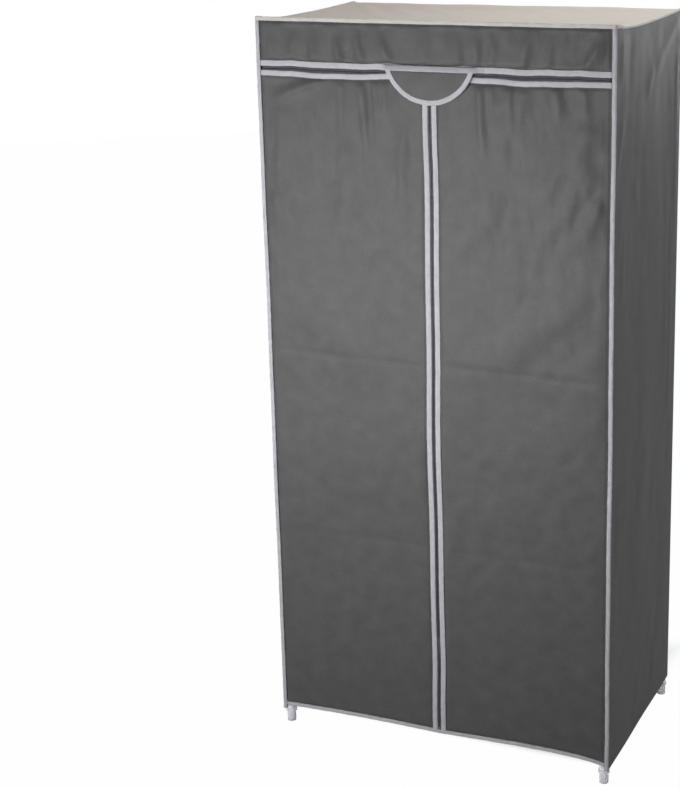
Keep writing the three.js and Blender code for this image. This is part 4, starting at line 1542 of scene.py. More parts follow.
@dataclass
class ZipTab:
    """The D-shaped tab over the sliders, sewn to the header under a strip of tape."""

    middle: float = 3 * MM
    half_width: float = 92.5 * MM
    top: float = 1477 * MM
    cloth_top: float = 1475.4 * MM
    spring: float = 1467 * MM
    foot: float = 1402.5 * MM
    seam_y: float = 226.6 * MM
    face_y: float = 232.4 * MM
    bend: float = 11 * MM
    crown: float = 1.2 * MM
    binding: float = 9.6 * MM
    strip: float = 11 * MM
    strip_reach: float = 112 * MM
    area_share: float = 0.74

    @property
    def radius(self) -> float:
        """Radius of the tab's arc."""
        depth = self.spring - self.foot
        return (self.half_width ** 2 + depth ** 2) / (2 * depth)

    def out(self, x: Array, z: Array) -> Array:
        """Gives the tab's outer face, which bends out from its seam and is slightly crowned.

        Args:
            x: Places across the tab.
            z: Heights on it.

        Returns:
            Y of the face there.
        """
        bent = smooth((self.top - z) / self.bend)
        crown = self.crown * hump((x - self.middle + self.half_width) / (2 * self.half_width))
        crown = crown * hump((z - self.foot) / (self.top - self.foot))
        return -(self.seam_y + (self.face_y - self.seam_y) * bent + crown)

    def arc(self, angles: Array) -> tuple[Array, Array]:
        """X and Z of the arc at angles from straight down."""
        centre = self.foot + self.radius
        return self.middle + np.sin(angles) * self.radius, centre - np.cos(angles) * self.radius

    def build(self) -> None:
        """Makes the tab's cloth, its arc binding and the strip along its top."""
        sweep = math.asin(self.half_width / self.radius)
        angles = np.linspace(-sweep, sweep, 61)
        arc_x, arc_z = self.arc(angles * 0.995)
        share = np.linspace(0, 1, 24)
        x = np.repeat(arc_x[:, None], len(share), 1)
        cloth_foot = arc_z[:, None] + 0.4 * MM
        z = cloth_foot + (self.cloth_top - cloth_foot) * share[None]
        points = np.stack([x, self.out(x, z) + 0.3 * MM, z], -1)
        sheet = cloth_piece(
            "zip_tab_cloth", Finish.COVER, points, np.stack([x, z], -1), (0, -1, 0), SIZES.cloth
        )
        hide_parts("zip_cover_tab")
        arc_x, arc_z = self.arc(angles)
        path = np.stack([arc_x, self.out(arc_x, arc_z), arc_z], -1)
        inward = np.stack([-np.sin(angles), np.zeros(len(angles)), np.cos(angles)], -1)
        edge = Binding(self.binding, proud=0.9 * MM, back=0.5 * MM).sew(
            "zip_tab_binding", path, inward, (0, -1, 0), 13
        )
        strip = self.top_strip()
        for piece in (sheet, edge):
            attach(piece, "zip_tab")
        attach(strip, "root")
        log.info("zip tab: cloth and two bindings")

    def top_strip(self) -> Object:
        """Sews the strip along the tab's top, which runs into the header's binding at both ends.

        Returns:
            The strip.
        """
        xs = self.middle + evenly(-self.strip_reach, self.strip_reach, 3 * MM)
        over = smooth((self.strip_reach - np.abs(xs - self.middle)) / (20 * MM))
        header_face = SIZES.half_depth + 0.6 * MM
        y = -header_face - (self.face_y + 1.0 * MM - header_face) * over
        path = np.stack([xs, y, np.full(xs.shape, SIZES.header_foot + 0.3 * MM)], -1)
        lean = (self.face_y - self.seam_y) * over
        inward = np.stack([np.zeros(xs.shape), lean, np.full(xs.shape, self.bend)], -1)
        inward /= np.linalg.norm(inward, axis=1)[:, None]
        outward = np.stack([np.zeros(xs.shape), -inward[:, 2], inward[:, 1]], -1)
        return Binding(self.strip, proud=0.8 * MM, back=0.2 * MM).sew(
            "zip_tab_top_binding", path, inward, outward, 15
        )


# The frame inside

def ring_stack(
    name: str, profile: Sequence[tuple[float, float]], sides: int = 48, closed: bool = False
) -> Object:
    """Models a turned shape about Z by extruding and resizing one ring.

    Args:
        name: The piece's name.
        profile: Radius and height of each ring in turn.
        sides: How many sides the rings have.
        closed: Whether the last ring joins the first, as on a tube's wall.

    Returns:
        The turned piece, closed all round.
    """
    radius, height = profile[0]
    bpy.ops.object.select_all(action="DESELECT")
    bpy.ops.mesh.primitive_circle_add(vertices=sides, radius=radius, location=(0, 0, height))
    piece = bpy.context.object
    piece.name = name
    bpy.ops.object.transform_apply(location=True, rotation=True, scale=True)
    bpy.ops.object.mode_set(mode="EDIT")
    bpy.ops.mesh.select_all(action="SELECT")
    if not closed:
        bpy.ops.mesh.edge_face_add()
        bpy.ops.mesh.select_all(action="SELECT")
    rings = list(profile[1:]) + ([profile[0]] if closed else [])
    for next_radius, next_height in rings:
        rise = next_height - height
        if closed:
            bpy.ops.mesh.extrude_edges_move(TRANSFORM_OT_translate={"value": (0, 0, rise)})
        else:
            bpy.ops.mesh.extrude_region_move(TRANSFORM_OT_translate={"value": (0, 0, rise)})
        scale = next_radius / radius
        if abs(scale - 1) > 1e-9:
            bpy.ops.transform.resize(value=(scale, scale, 1), center_override=(0, 0, next_height))
        radius, height = next_radius, next_height
    bpy.ops.mesh.select_all(action="SELECT")
    bpy.ops.mesh.remove_doubles(threshold=0.001 * MM)
    bpy.ops.mesh.normals_make_consistent(inside=False)
    bpy.ops.object.mode_set(mode="OBJECT")
    return piece


def copied(piece: Object, name: str, place: Matrix) -> Object:
    """Copies a piece with a mesh of its own and puts it in its place.

    Args:
        piece: The piece to copy.
        name: The copy's name.
        place: Where it goes.

    Returns:
        The copy, at the origin, with its place in its mesh.
    """
    copy = piece.copy()
    copy.data = piece.data.copy()
    copy.name = copy.data.name = name
    copy.data.transform(place)
    bpy.context.scene.collection.objects.link(copy)
    return copy


def combine(piece: Object, other: Object, operation: str) -> None:
    """Joins another solid to a piece, or cuts it out of it, and removes the other."""
    apply_modifier(piece, "BOOLEAN", operation=operation, solver="MANIFOLD", object=other)
    bpy.data.objects.remove(other)


def merge_close(piece: Object, distance: float) -> None:
    """Merges the points and slivers that joining and cutting leave a hair apart.

    Args:
        piece: The piece.
        distance: How near points are merged.
    """
    select_only(piece)
    bpy.ops.object.mode_set(mode="EDIT")
    bpy.ops.mesh.select_all(action="SELECT")
    bpy.ops.mesh.remove_doubles(threshold=distance)
    bpy.ops.mesh.dissolve_degenerate(threshold=distance)
    bpy.ops.object.mode_set(mode="OBJECT")


def aimed(direction: Sequence[float]) -> Matrix:
    """The turn that takes +Z to a direction."""
    return Vector((0, 0, 1)).rotation_difference(Vector(direction)).to_matrix().to_4x4()


@dataclass
class TubeFrame:
    """Steel tubes plugged into moulded connectors, with the hanging rail on two hangers."""

    radius: float = 8 * MM
    wall: float = 0.8 * MM
    post_x: float = 367.8 * MM
    post_y: float = 212.8 * MM
    bottom_z: float = 62 * MM
    shelf_z: float = 1229 * MM
    top_z: float = 1547.8 * MM
    joint_z: float = 640 * MM
    joint_gap: float = 0.3 * MM
    plug_length: float = 30 * MM
    tube_start: float = 11.3 * MM
    bore: float = 8.3 * MM
    socket: float = 9.7 * MM
    mouth: float = 10.2 * MM
    stop: float = 11 * MM
    arm: float = 36 * MM
    hub: float = 10.6 * MM
    rail_z: float = 1187 * MM

    def build(self) -> None:
        """Makes every tube, connector and hanger."""
        self.tubes()
        self.connectors()
        self.hangers()

    def dress(
        self, piece: Object, node: str, finish: Finish, degrees: float = 30
    ) -> None:
        """Gives a piece its finish and lets it stand for its solid.

        Args:
            piece: The piece.
            node: The solid's node.
            finish: The finish.
            degrees: The angle past which its edges stay sharp.
        """
        piece.data.materials.clear()
        piece.data.materials.append(finish.material())
        shade(piece, degrees)
        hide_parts(node)
        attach(piece, "root")

    def tube(self, name: str, length: float) -> Object:
        """Models a plain tube up from the origin.

        Args:
            name: The piece's name.
            length: The tube's length.

        Returns:
            The tube.
        """
        outer, bore = self.radius, self.radius - self.wall
        rim = 0.2 * MM
        return ring_stack(
            name,
            [(bore, 0), (outer - rim, 0), (outer, rim), (outer, length - rim),
             (outer - rim, length), (bore, length)],
            closed=True,
        )

    def swaged(self, name: str, length: float) -> Object:
        """Models a tube whose lower end is drawn in to plug into the one below.

        Args:
            name: The piece's name.
            length: The tube's length over its plug.

        Returns:
            The tube, whose plug hangs below the origin.
        """
        outer, bore = self.radius, self.radius - self.wall
        plug = bore - 0.3 * MM
        throat = plug - self.wall
        drawn, taper = self.plug_length, 4 * MM
        return ring_stack(
            name,
            [(throat, -drawn), (plug - 0.3 * MM, -drawn), (plug, -drawn + 0.3 * MM), (plug, 0),
             (plug + 0.2 * MM, 0.6 * MM), (outer - 0.15 * MM, taper - 0.6 * MM), (outer, taper),
             (outer, length), (bore, length), (bore, taper), (throat, 0)],
            closed=True,
        )

    def tubes(self) -> None:
        """Makes the posts and the rails, one model for each length."""
        low = self.bottom_z + self.tube_start
        mid_top = self.shelf_z - self.tube_start
        high = self.shelf_z + self.tube_start
        joint = self.joint_z + self.joint_gap
        posts = {
            "lower": (self.tube("seed", self.joint_z - low), low),
            "middle": (self.swaged("seed", mid_top - joint), joint),
            "upper": (self.tube("seed", self.top_z - self.tube_start - high), high),
        }
        for part, (seed, foot) in posts.items():
            for corner, sx, sy in self.corners():
                place = Matrix.Translation((sx * self.post_x, sy * self.post_y, foot))
                node = f"post_{part}_{corner}"
                post = copied(seed, f"{node}_tube", place)
                self.dress(post, node, Finish.DARK_TUBE)
            bpy.data.objects.remove(seed)
        across, deep = 2 * (self.post_x - self.tube_start), 2 * (self.post_y - self.tube_start)
        wide, short = self.tube("seed_wide", across), self.tube("seed_deep", deep)
        along_x = Matrix.Translation((-across / 2, 0, 0)) @ aimed((1, 0, 0))
        along_y = Matrix.Translation((0, -deep / 2, 0)) @ aimed((0, 1, 0))
        runs = (
            ("front", wide, along_x, 0, -self.post_y), ("back", wide, along_x, 0, self.post_y),
            ("left", short, along_y, -self.post_x, 0), ("right", short, along_y, self.post_x, 0),
        )
        for level, z in (("bottom", self.bottom_z), ("shelf", self.shelf_z), ("top", self.top_z)):
            for label, seed, turn, x, y in runs:
                node = f"{level}_rail_{label}"
                rail = copied(seed, f"{node}_tube", Matrix.Translation((x, y, z)) @ turn)
                if level == "shelf" and seed is wide:
                    self.dress(rail, node, Finish.PALE_TUBE)
                else:
                    self.dress(rail, node, Finish.DARK_TUBE)
        low_corner, high_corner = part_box("hanging_rail")
        hung = self.tube("hanging_rail_tube", high_corner.x - low_corner.x)
        hung.data.transform(Matrix.Translation((low_corner.x, 0, self.rail_z)) @ aimed((1, 0, 0)))
        self.dress(hung, "hanging_rail", Finish.PALE_TUBE)
        for seed in (wide, short):
            bpy.data.objects.remove(seed)
        log.info("frame: 25 tubes")

    @staticmethod
    def corners() -> list[tuple[str, int, int]]:
        """Name and signs of X and Y of each corner post."""
        rows = (("front", -1), ("back", 1))
        return [(f"{row}_{side.label}", side.value, sy) for row, sy in rows for side in Side]

    def socket_arm(self) -> Object:
        """Models one socket's outside, with a raised rim at its mouth.

        Returns:
            The socket, pointing up.
        """
        rim, ramp = 3 * MM, 0.6 * MM
        return ring_stack("arm", [
            (self.socket, 0), (self.socket, self.arm - rim), (self.mouth, self.arm - rim + ramp),
            (self.mouth, self.arm - 0.5 * MM), (self.mouth - 0.5 * MM, self.arm),
        ])

    def socket_bore(self) -> Object:
        """Models the hole that a tube plugs into, with a lead-in at its mouth.

        Returns:
            The hole as a solid, pointing up.
        """
        lead = 0.7 * MM
        return ring_stack("bore", [
            (self.bore, self.stop), (self.bore, self.arm - lead),
            (self.bore + lead, self.arm), (self.bore + lead, self.arm + 2 * MM),
        ])

    def leg(self) -> Object:
        """Models the leg under a bottom connector, down to a rounded foot.

        Returns:
            The leg, hanging from the origin.
        """
        radius, collar = 9.6 * MM, 12 * MM
        foot, high, low = -self.bottom_z, -self.bottom_z + 30 * MM, -self.bottom_z + 24 * MM
        return ring_stack("leg", [
            (radius - 1.1 * MM, foot), (radius - 0.4 * MM, foot + 0.3 * MM),
            (radius, foot + 1.1 * MM), (radius, low), (collar - 0.5 * MM, low + 0.2 * MM),
            (collar, low + 0.8 * MM), (collar, high - 0.8 * MM),
            (collar - 0.5 * MM, high - 0.2 * MM), (radius, high), (radius, 0),
        ])

    def connector(self, directions: Sequence[tuple], leg: bool) -> Object:
        """Models one connector at the origin.

        Args:
            directions: Where its sockets point.
            leg: Whether it stands on a leg.

        Returns:
            The connector, with its sockets bored.
        """
        bpy.ops.object.select_all(action="DESELECT")
        bpy.ops.mesh.primitive_uv_sphere_add(segments=48, ring_count=24, radius=self.hub)
        body = bpy.context.object
        for direction in directions:
            arm = self.socket_arm()
            arm.data.transform(aimed(direction))
            combine(body, arm, "UNION")
        if leg:
            combine(body, self.leg(), "UNION")
        for direction in directions:
            bore = self.socket_bore()
            bore.data.transform(aimed(direction))
            combine(body, bore, "DIFFERENCE")
        merge_close(body, 0.06 * MM)
        apply_modifier(body, "BEVEL", width=0.35 * MM, segments=2, angle_limit=math.radians(40))
        merge_close(body, 0.01 * MM)
        return body

    def connectors(self) -> None:
        """Makes the twelve connectors, three models turned to the four corners."""
        levels = {
            "bottom": (self.bottom_z, [(0, 0, 1)], True),
            "shelf": (self.shelf_z, [(0, 0, 1), (0, 0, -1)], False),
            "top": (self.top_z, [(0, 0, -1)], False),
        }
        turns = {"front_left": 0, "front_right": 90, "back_right": 180, "back_left": 270}
        for level, (z, upright, leg) in levels.items():
            seed = self.connector([(1, 0, 0), (0, 1, 0), *upright], leg)
            for corner, sx, sy in self.corners():
                turn = Matrix.Rotation(math.radians(turns[corner]), 4, "Z")
                place = Matrix.Translation((sx * self.post_x, sy * self.post_y, z)) @ turn
                node = f"{level}_connector_{corner}"
                fitting = copied(seed, f"{node}_fitting", place)
                self.dress(fitting, node, Finish.PLASTIC, 28)
            bpy.data.objects.remove(seed)
        log.info("frame: 12 connectors")

    def hanger(self) -> Object:
        """Models one hanger at the origin: a ring, a web down from it and a cup along +X.

        Returns:
            The hanger, bored for the side rail and for the hanging rail.
        """
        drop = self.shelf_z - self.rail_z
        along_rail = aimed((0, 1, 0))
        at_cup = Matrix.Translation((0, 0, -drop)) @ aimed((1, 0, 0))
        body = ring_stack("hanger", [
            (self.socket - 0.5 * MM, -9 * MM), (self.socket, -8.5 * MM), (self.socket, 8.5 * MM),
            (self.socket - 0.5 * MM, 9 * MM),
        ])
        body.data.transform(along_rail)
        web = block("web", 8 * MM, 15 * MM, drop)
        web.data.transform(Matrix.Translation((0, 0, -drop / 2)))
        combine(body, web, "UNION")
        cup = ring_stack("cup", [
            (self.socket - 0.6 * MM, -8 * MM), (self.socket, -7.4 * MM), (self.socket, 19 * MM),
            (self.mouth, 19.6 * MM), (self.mouth, 21.5 * MM), (self.mouth - 0.5 * MM, 22 * MM),
        ])
        cup.data.transform(at_cup)
        combine(body, cup, "UNION")
        for reach, place in (((-12 * MM, 12 * MM), along_rail), ((-5 * MM, 24 * MM), at_cup)):
            hole = ring_stack("hole", [(self.bore, height) for height in reach])
            hole.data.transform(place)
            combine(body, hole, "DIFFERENCE")
        merge_close(body, 0.05 * MM)
        return body

    def hangers(self) -> None:
        """Makes the two hangers that carry the hanging rail from the side rails."""
        seed = self.hanger()
        for side, degrees in ((Side.LEFT, 0), (Side.RIGHT, 180)):
            turn = Matrix.Rotation(math.radians(degrees), 4, "Z")
            place = Matrix.Translation((side.value * self.post_x, 0, self.shelf_z)) @ turn
            node = f"rail_hanger_{side.label}"
            fitting = copied(seed, f"{node}_fitting", place)
            self.dress(fitting, node, Finish.PLASTIC, 28)
        bpy.data.objects.remove(seed)
        log.info("frame: 2 rail hangers")


@dataclass
class Shelf:
    """A dark cloth shelf, laid over the front and back rails and sleeved on the side rails."""

    crumple: Crumple
    thickness: float = 1.1 * MM
    sag: float = 5 * MM
    step: float = 8 * MM
    post_x: float = 367.8 * MM
    rail_z: float = 1229 * MM
    sleeve: float = 9.5 * MM
    end_y: float = 220.8 * MM
    sleeve_end: float = 175.3 * MM
    notch: float = 10.5 * MM
    corner_x: float = 330.3 * MM
    notch_x: float = 356.1 * MM

    def build(self) -> None:
        """Makes the shelf as one sheet that rolls round the side rails."""
        flat_x = self.post_x
        straight = np.unique(np.concatenate([
            evenly(-flat_x, flat_x, self.step),
            [s * x for s in (-1, 1) for x in (self.corner_x, self.notch_x)],
        ]))
        angles = np.radians(np.arange(12, 276, 12))
        roll_x = flat_x + self.sleeve * np.sin(angles)
        roll_z = self.sleeve * np.cos(angles)
        xs = np.concatenate([-roll_x[::-1], straight, roll_x])
        zs = np.concatenate([roll_z[::-1], np.full(straight.shape, self.sleeve), roll_z])
        arc = self.sleeve * angles
        flat_u = np.concatenate([-flat_x - arc[::-1], straight, flat_x + arc])
        ys = np.unique(np.concatenate([
            evenly(-self.end_y, self.end_y, self.step),
            [s * y for s in (-1, 1) for y in (self.sleeve_end, self.notch)],
        ]))
        u, y = grid_of(flat_u, ys)
        x = np.repeat(xs[:, None], len(ys), 1)
        z = np.repeat(zs[:, None], len(ys), 1) + self.rail_z
        inside = edge_fade(x, -350 * MM, 350 * MM, 130 * MM) * edge_fade(
            y, -204 * MM, 204 * MM, 110 * MM)
        z = z - self.sag * inside + self.crumple.at(u, y) * inside
        mid_u, mid_y = (u[1:, 1:] + u[:-1, :-1]) / 2, (y[1:, 1:] + y[:-1, :-1]) / 2
        past_corner = (np.abs(mid_u) > self.corner_x) & (np.abs(mid_y) > self.sleeve_end)
        at_hanger = (np.abs(mid_u) > self.notch_x) & (np.abs(mid_y) < self.notch)
        sheet = cloth_piece(
            "shelf_cloth", Finish.SHELF, np.stack([x, y, z], -1), np.stack([u, y], -1),
            (0, 0, 1), self.thickness, keep=~(past_corner | at_hanger),
        )
        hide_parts("shelf")
        seams = []
        seam_y = self.end_y - 10 * MM
        for label, place in (("front", -seam_y), ("back", seam_y)):
            line = evenly(-self.corner_x + 6 * MM, self.corner_x - 6 * MM, self.step)
            path = np.stack(np.broadcast_arrays(line, place, self.rail_z + self.sleeve), -1)
            seams.append(row_of_stitches(
                f"shelf_{label}_stitches", path, (0, 0, 1), Finish.DARK_THREAD))
        for piece in [sheet, *seams]:
            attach(piece, "root")
        log.info("shelf: sheet with sleeves and two seams")


@dataclass(frozen=True)
class ZipSliders:
    """The sliders and their pulls, which keep the shapes of their solids."""

    zips: tuple[str, ...] = ("upright", "left", "right")
    parts: tuple[str, ...] = ("slider", "pull")

    def build(self) -> None:
        """Gives each slider and pull its cast metal."""
        for name in self.zips:
            for part in self.parts:
                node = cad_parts[f"zip_{part}_{name}"]
                node.data.materials.clear()
                node.data.materials.append(Finish.ZIP_METAL.material())
        log.info("zips: %d sliders and pulls", len(self.zips) * len(self.parts))


# The studio

@dataclass(frozen=True)
class Lamp:
    """A square soft lamp that looks at a point, its beam as wide as its grid lets it."""

    name: str
    place: tuple[float, float, float]
    target: tuple[float, float, float]
    size: float
    power: float
    spread: float = 180

    def hang(self) -> None:
        """Hangs the lamp in its place."""
        data = bpy.data.lights.new(self.name, "AREA")
        data.size = self.size
        data.energy = self.power
        data.spread = math.radians(self.spread)
        lamp = bpy.data.objects.new(self.name, data)
        bpy.context.scene.collection.objects.link(lamp)
        lamp.location = self.place
        away = Vector(self.place) - Vector(self.target)
        lamp.rotation_euler = away.to_track_quat("Z", "Y").to_euler()


@dataclass(frozen=True)
class Studio:
    """A white room with soft lamps, and the photograph's camera."""

    camera_place: tuple[float, float, float] = (1.3298, -3.2443, 1.8460)
    yaw: float = -23.17
    pitch: float = -14.91
    roll: float = -0.78
    focal_px: float = 1691.6
    axis_px: tuple[float, float] = (450, 320)
    picture_px: tuple[float, float] = (680, 788)
    sensor: float = 36.0
    # Axis, middle, and the distances from it at which the plain grey floor, a painted shadow, ends
    # and white begins.
    shadow_spans: tuple[tuple[int, float, float, float], ...] = (
        (0, 0.0, 0.22, 0.37), (1, 0.6, 0.7, 0.76), (1, -0.6, 0.79, 1.12)
    )
    most_white: float = 0.99
    white_in_gloss: float = 0.3
    world_strength: float = 0.08
    floor_grey: float = 0.2
    floor_radius: float = 9
    lamps: tuple[Lamp, ...] = (
        Lamp("front_lamp", (-0.2, -1.5, 0.95), (0, -0.2, 1.15), 0.7, 7.8, 130),
        Lamp("low_lamp", (-1.7, -2.6, 0.65), (0, -0.2, 1.1), 0.8, 42),
        Lamp("right_lamp", (1.9, 0.4, 1.2), (0.38, 0, 1.0), 0.9, 14),
        Lamp("left_lamp", (-2.4, 0.5, 1.7), (-0.38, 0, 1.0), 0.9, 20),
        Lamp("top_lamp", (0.36, 0.15, 2.6), (0.1, 0, 1.5), 0.7, 13.2),
        Lamp("rear_lamp", (0.3, 3.1, 1.6), (0, 0.2, 1.0), 1.0, 34),
    )

    def camera(self) -> None:
        """Sets the camera, with the shift that puts the object where the photograph has it."""
        data = bpy.data.cameras.new("studio_camera")
        wide, tall = self.picture_px
        data.sensor_width = self.sensor
        data.lens = self.focal_px * self.sensor / tall
        data.shift_x = (wide / 2 - self.axis_px[0]) / tall
        data.shift_y = (self.axis_px[1] - tall / 2) / tall
        camera = bpy.data.objects.new("studio_camera", data)
        bpy.context.scene.collection.objects.link(camera)
        yaw, pitch, roll = (math.radians(a) for a in (self.yaw, self.pitch, self.roll))
        ahead = Vector((math.sin(yaw) * math.cos(pitch), math.cos(yaw) * math.cos(pitch),
                        math.sin(pitch)))
        right = Vector((math.cos(yaw), -math.sin(yaw), 0))
        up = right.cross(ahead)
        right, up = (math.cos(roll) * right + math.sin(roll) * up,
                     -math.sin(roll) * right + math.cos(roll) * up)
        turn = Matrix((right, up, -ahead)).transposed().to_4x4()
        camera.matrix_world = Matrix.Translation(self.camera_place) @ turn
        bpy.context.scene.camera = camera

    def clear_of_object(self, paint: Material) -> NodeSocket:
        """Gives the floor's share of white: nearly all, but plain grey under the object and behind
        it, as a painted shadow.

        Args:
            paint: The floor's material.

        Returns:
            The share. Where the floor is plain, its grey is a painted soft shadow, and the
            object's real shadow falls on it too.
        """
        place = add_node(paint, "ShaderNodeTexCoord").outputs["Object"]
        split = add_node(paint, "ShaderNodeSeparateXYZ", {0: place})
        white = 0.0
        for axis, middle, start, end in self.shadow_spans:
            shifted = add_node(
                paint, "ShaderNodeMath", {0: split.outputs[axis], 1: middle}, operation="SUBTRACT"
            )
            away = add_node(paint, "ShaderNodeMath", {0: shifted.outputs[0]}, operation="ABSOLUTE")
            share = add_node(
                paint, "ShaderNodeMapRange",
                {0: away.outputs[0], 1: start, 2: end, 3: 0.0, 4: self.most_white},
                interpolation_type="SMOOTHSTEP",
            )
            white = add_node(
                paint, "ShaderNodeMath", {0: share.outputs[0], 1: white}, operation="MAXIMUM"
            ).outputs[0]
        return white

    def white_where_seen(
        self, material: ID, plain: NodeSocket, kind: str,
        share: float | NodeSocket,
    ) -> NodeSocket:
        """Shows white to the camera, to gloss and through glass, and the plain shader to light.

        Args:
            material: The material or world.
            plain: The shader that lights the object.
            kind: The node type of the white shader.
            share: How much of the white shows to the camera.

        Returns:
            The mixed shader.
        """
        path = add_node(material, "ShaderNodeLightPath")
        seen = path.outputs["Is Glossy Ray"]
        for operation, other in (
            ("MULTIPLY", self.white_in_gloss),
            ("MAXIMUM", path.outputs["Is Camera Ray"]),
            ("MAXIMUM", path.outputs["Is Transmission Ray"]),
            ("MULTIPLY", share),
        ):
            inputs = {0: seen, 1: other}
            node = add_node(material, "ShaderNodeMath", inputs, operation=operation)
            seen = node.outputs[0]
        white = add_node(material, kind, {"Color": (1, 1, 1, 1), "Strength": 1.0})
        inputs = {0: seen, 1: plain, 2: white.outputs[0]}
        return add_node(material, "ShaderNodeMixShader", inputs).outputs[0]

    def room(self) -> None:
        """Makes the floor and the world's even light."""
        world = bpy.data.worlds.new("studio_world")
        bpy.context.scene.world = world
        world.use_nodes = True
        world.node_tree.nodes.clear()
        inputs = {"Color": (1, 1, 1, 1), "Strength": self.world_strength}
        light = add_node(world, "ShaderNodeBackground", inputs)
        surface = self.white_where_seen(world, light.outputs[0], "ShaderNodeBackground", 1.0)
        add_node(world, "ShaderNodeOutputWorld", {"Surface": surface})
        bpy.ops.mesh.primitive_circle_add(
            vertices=96, radius=self.floor_radius, fill_type="NGON"
        )
        floor = bpy.context.object
        floor.name = "studio_floor"
        paint = bpy.data.materials.new("studio_floor_paint")
        paint.use_nodes = True
        paint.node_tree.nodes.clear()
        grey = (self.floor_grey,) * 3
        matt = add_node(paint, "ShaderNodeBsdfDiffuse", {"Color": (*grey, 1)})
        # Painted shadow: under and behind the object the camera sees this darker grey floor
        # instead of white.
        surface = self.white_where_seen(
            paint, matt.outputs[0], "ShaderNodeEmission", self.clear_of_object(paint)
        )
        add_node(paint, "ShaderNodeOutputMaterial", {"Surface": surface})
        floor.data.materials.append(paint)

    def build(self) -> None:
        """Sets up the room, the lamps and the camera."""
        self.room()
        for lamp in self.lamps:
            lamp.hang()
        self.camera()
        bpy.context.scene.view_settings.view_transform = "Standard"
        log.info("studio: floor, %d lamps and the camera", len(self.lamps))


LEFT_DOOR_FOLDS = (
    Fold((228, 1449), (352, 1398), 10, 4.4, 0.1, 0.35),
    Fold((262, 1453), (354, 1424), 9, -1.5, 0.1, 0.3),
    Fold((192, 1448), (195, 1290), 9, 3.1, 0.1),
    Fold((149, 1448), (136, 1280), 9, 4.7, 0.1),
    Fold((131, 1448), (126, 1330), 6, -1.4, 0.1),
    Fold((118, 1448), (112, 1320), 8, 3.4, 0.1),
    Fold((97, 1446), (95, 1350), 7, 2.6, 0.1),
    Fold((252, 1400), (255, 1190), 15, 3.1),
    Fold((330, 1400), (336, 1220), 13, 3.4),
    Fold((190, 1335), (194, 1130), 18, 3.1),
    Fold((60, 1380), (66, 1120), 14, 2.9),
    Fold((353, 1240), (290, 1080), 34, 4.7, 0.3, 0.4),
    Fold((230, 1180), (60, 1090), 40, 4.4, 0.3, 0.4),
    Fold((300, 1010), (110, 800), 46, 3.9, 0.3, 0.4),
    Fold((365, 874), (8, 868), 7, -0.8, 0.1, 0.1),
    Fold((365, 470), (8, 476), 8, -0.5, 0.1, 0.1),
)
RIGHT_DOOR_FOLDS = (
    Fold((106, 1448), (113, 1290), 9, 4.0, 0.1),
    Fold((129, 1448), (132, 1340), 7, 2.8, 0.1),
    Fold((150, 1430), (153, 1260), 12, 2.8, 0.15),
    Fold((166, 1448), (171, 1320), 9, 4.2, 0.1),
    Fold((194, 1446), (182, 1310), 12, 3.0, 0.1),
    Fold((264, 1448), (268, 1370), 10, 3.5, 0.1),
    Fold((318, 1446), (322, 1380), 10, 2.2, 0.1),
    Fold((362, 1400), (190, 1170), 30, 6.2, 0.2, 0.4),
    Fold((352, 1310), (220, 1120), 24, 5.0, 0.2, 0.4),
    Fold((362, 1245), (290, 1110), 20, 4.5, 0.2, 0.4),
    Fold((150, 1250), (40, 1080), 34, 4.0, 0.3, 0.4),
    Fold((345, 1060), (60, 840), 40, 4.5, 0.25, 0.4),
    Fold((365, 868), (8, 874), 7, -0.8, 0.1, 0.1),
    Fold((365, 476), (8, 470), 8, -0.5, 0.1, 0.1),
)
HEADER_FOLDS = (
    Fold((-347, 1472), (-349, 1536), 9, 3.0, 0.1),
    Fold((-304, 1472), (-296, 1546), 13, 3.2, 0.1),
    Fold((-252, 1472), (-254, 1546), 8, 3.0, 0.1),
    Fold((-192, 1472), (-204, 1540), 8, 4.2, 0.1),
    Fold((-172, 1472), (-180, 1520), 6, -1.5, 0.1),
    Fold((-143, 1472), (-160, 1550), 9, 4.6, 0.1),
    Fold((-85, 1472), (-106, 1544), 9, 4.0, 0.1),
    Fold((-10, 1476), (-20, 1550), 16, 2.2, 0.1),
    Fold((64, 1472), (57, 1552), 10, 3.0, 0.1),
    Fold((96, 1472), (100, 1550), 9, 2.4, 0.1),
    Fold((130, 1472), (136, 1552), 9, 3.4, 0.1),
    Fold((192, 1472), (207, 1554), 12, 4.0, 0.1),
    Fold((240, 1472), (258, 1550), 9, 2.8, 0.1),
    Fold((290, 1478), (338, 1552), 14, -1.6, 0.1),
    Fold((316, 1472), (362, 1550), 11, 4.2, 0.1),
)
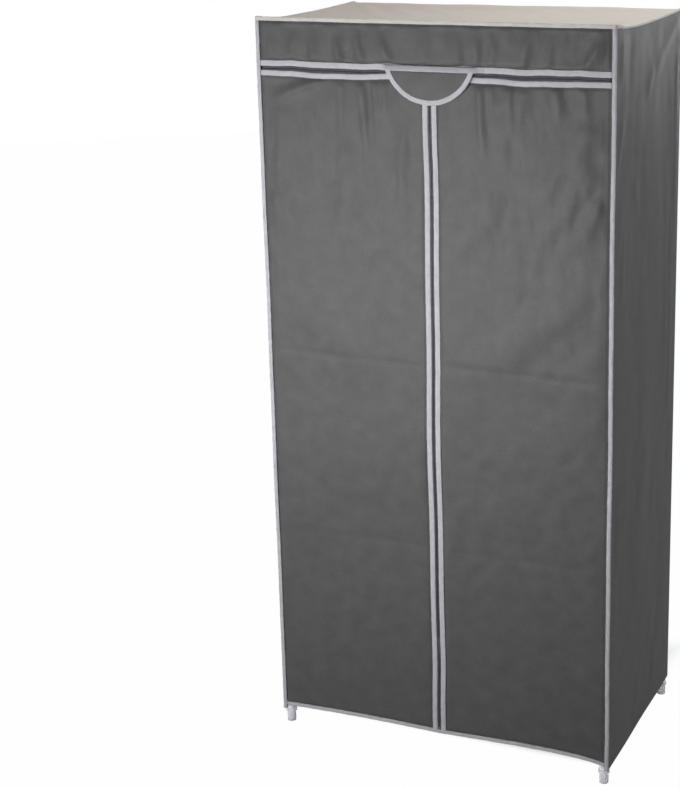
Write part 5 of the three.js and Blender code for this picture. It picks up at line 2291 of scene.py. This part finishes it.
SIDE_FOLDS = (
    Fold((14, 1548), (215, 1445), 15, 2.6, 0.15, 0.3),
    Fold((200, 1470), (256, 1400), 12, 2.2, 0.3, 0.4),
    Fold((30, 1490), (36, 900), 9, 1.8, 0.1, 0.4),
    Fold((60, 1180), (52, 620), 11, 1.8, 0.2, 0.4),
    Fold((95, 1300), (88, 700), 13, 1.4, 0.2, 0.4),
    Fold((409, 1545), (414, 1440), 9, 1.2, 0.2, 0.4),
    Fold((404, 1390), (438, 1280), 9, 2.4, 0.2, 0.3),
    Fold((322, 1270), (300, 1170), 14, 1.8, 0.3, 0.4),
    Fold((404, 1240), (432, 1090), 9, 2.2, 0.2, 0.4),
    Fold((386, 1180), (408, 980), 13, 1.6, 0.2, 0.4),
    Fold((250, 1100), (236, 420), 40, 1.6, 0.3, 0.4),
)
ROOF_FOLDS = (
    Fold((-372, -215), (-180, -60), 16, 2.2),
    Fold((372, -215), (190, -80), 16, 2.4),
    Fold((-120, -218), (-60, 60), 20, 1.6),
    Fold((160, -218), (120, 40), 22, 1.4),
    Fold((-345, 190), (-150, -120), 13, 3.0),
    Fold((-290, 205), (-70, -100), 15, 2.6),
    Fold((-215, 205), (10, -60), 17, 2.2),
    Fold((345, 190), (200, -40), 18, 1.8),
)


def main() -> None:
    """Builds the wardrobe and its studio."""
    logging.basicConfig(level=logging.INFO, format="%(name)s: %(message)s")
    Studio().build()
    TubeFrame().build()
    Shelf(Crumple(21, 0.8)).build()
    Roof(Crumple(22, 0.7), ROOF_FOLDS).build()
    Header(
        HEADER_FOLDS, Crumple(23, 0.9, shortest=26, longest=200, lean=20),
        Crumple(63, 0.55, shortest=15, longest=60, lean=22),
    ).build()
    for side in Side:
        SideWall(side, SIDE_FOLDS, Crumple(30 + side.value, 0.9, lean=18)).build()
    BackWall(Crumple(40, 1.1, lean=25)).build()
    for side, folds in ((Side.LEFT, LEFT_DOOR_FOLDS), (Side.RIGHT, RIGHT_DOOR_FOLDS)):
        Door(
            side, folds, Crumple(51 + (side is Side.RIGHT), 1.3, shortest=30),
            Crumple(61 + (side is Side.RIGHT), 0.6, shortest=16, longest=60, lean=16),
        ).build()
    ZipStop().build()
    FrontHem().build()
    ZipTab().build()
    ZipSliders().build()
    for name in ("stitch_seed", "tooth_seed"):
        bpy.data.objects.remove(bpy.data.objects[name])


if __name__ == "__main__":
    main()
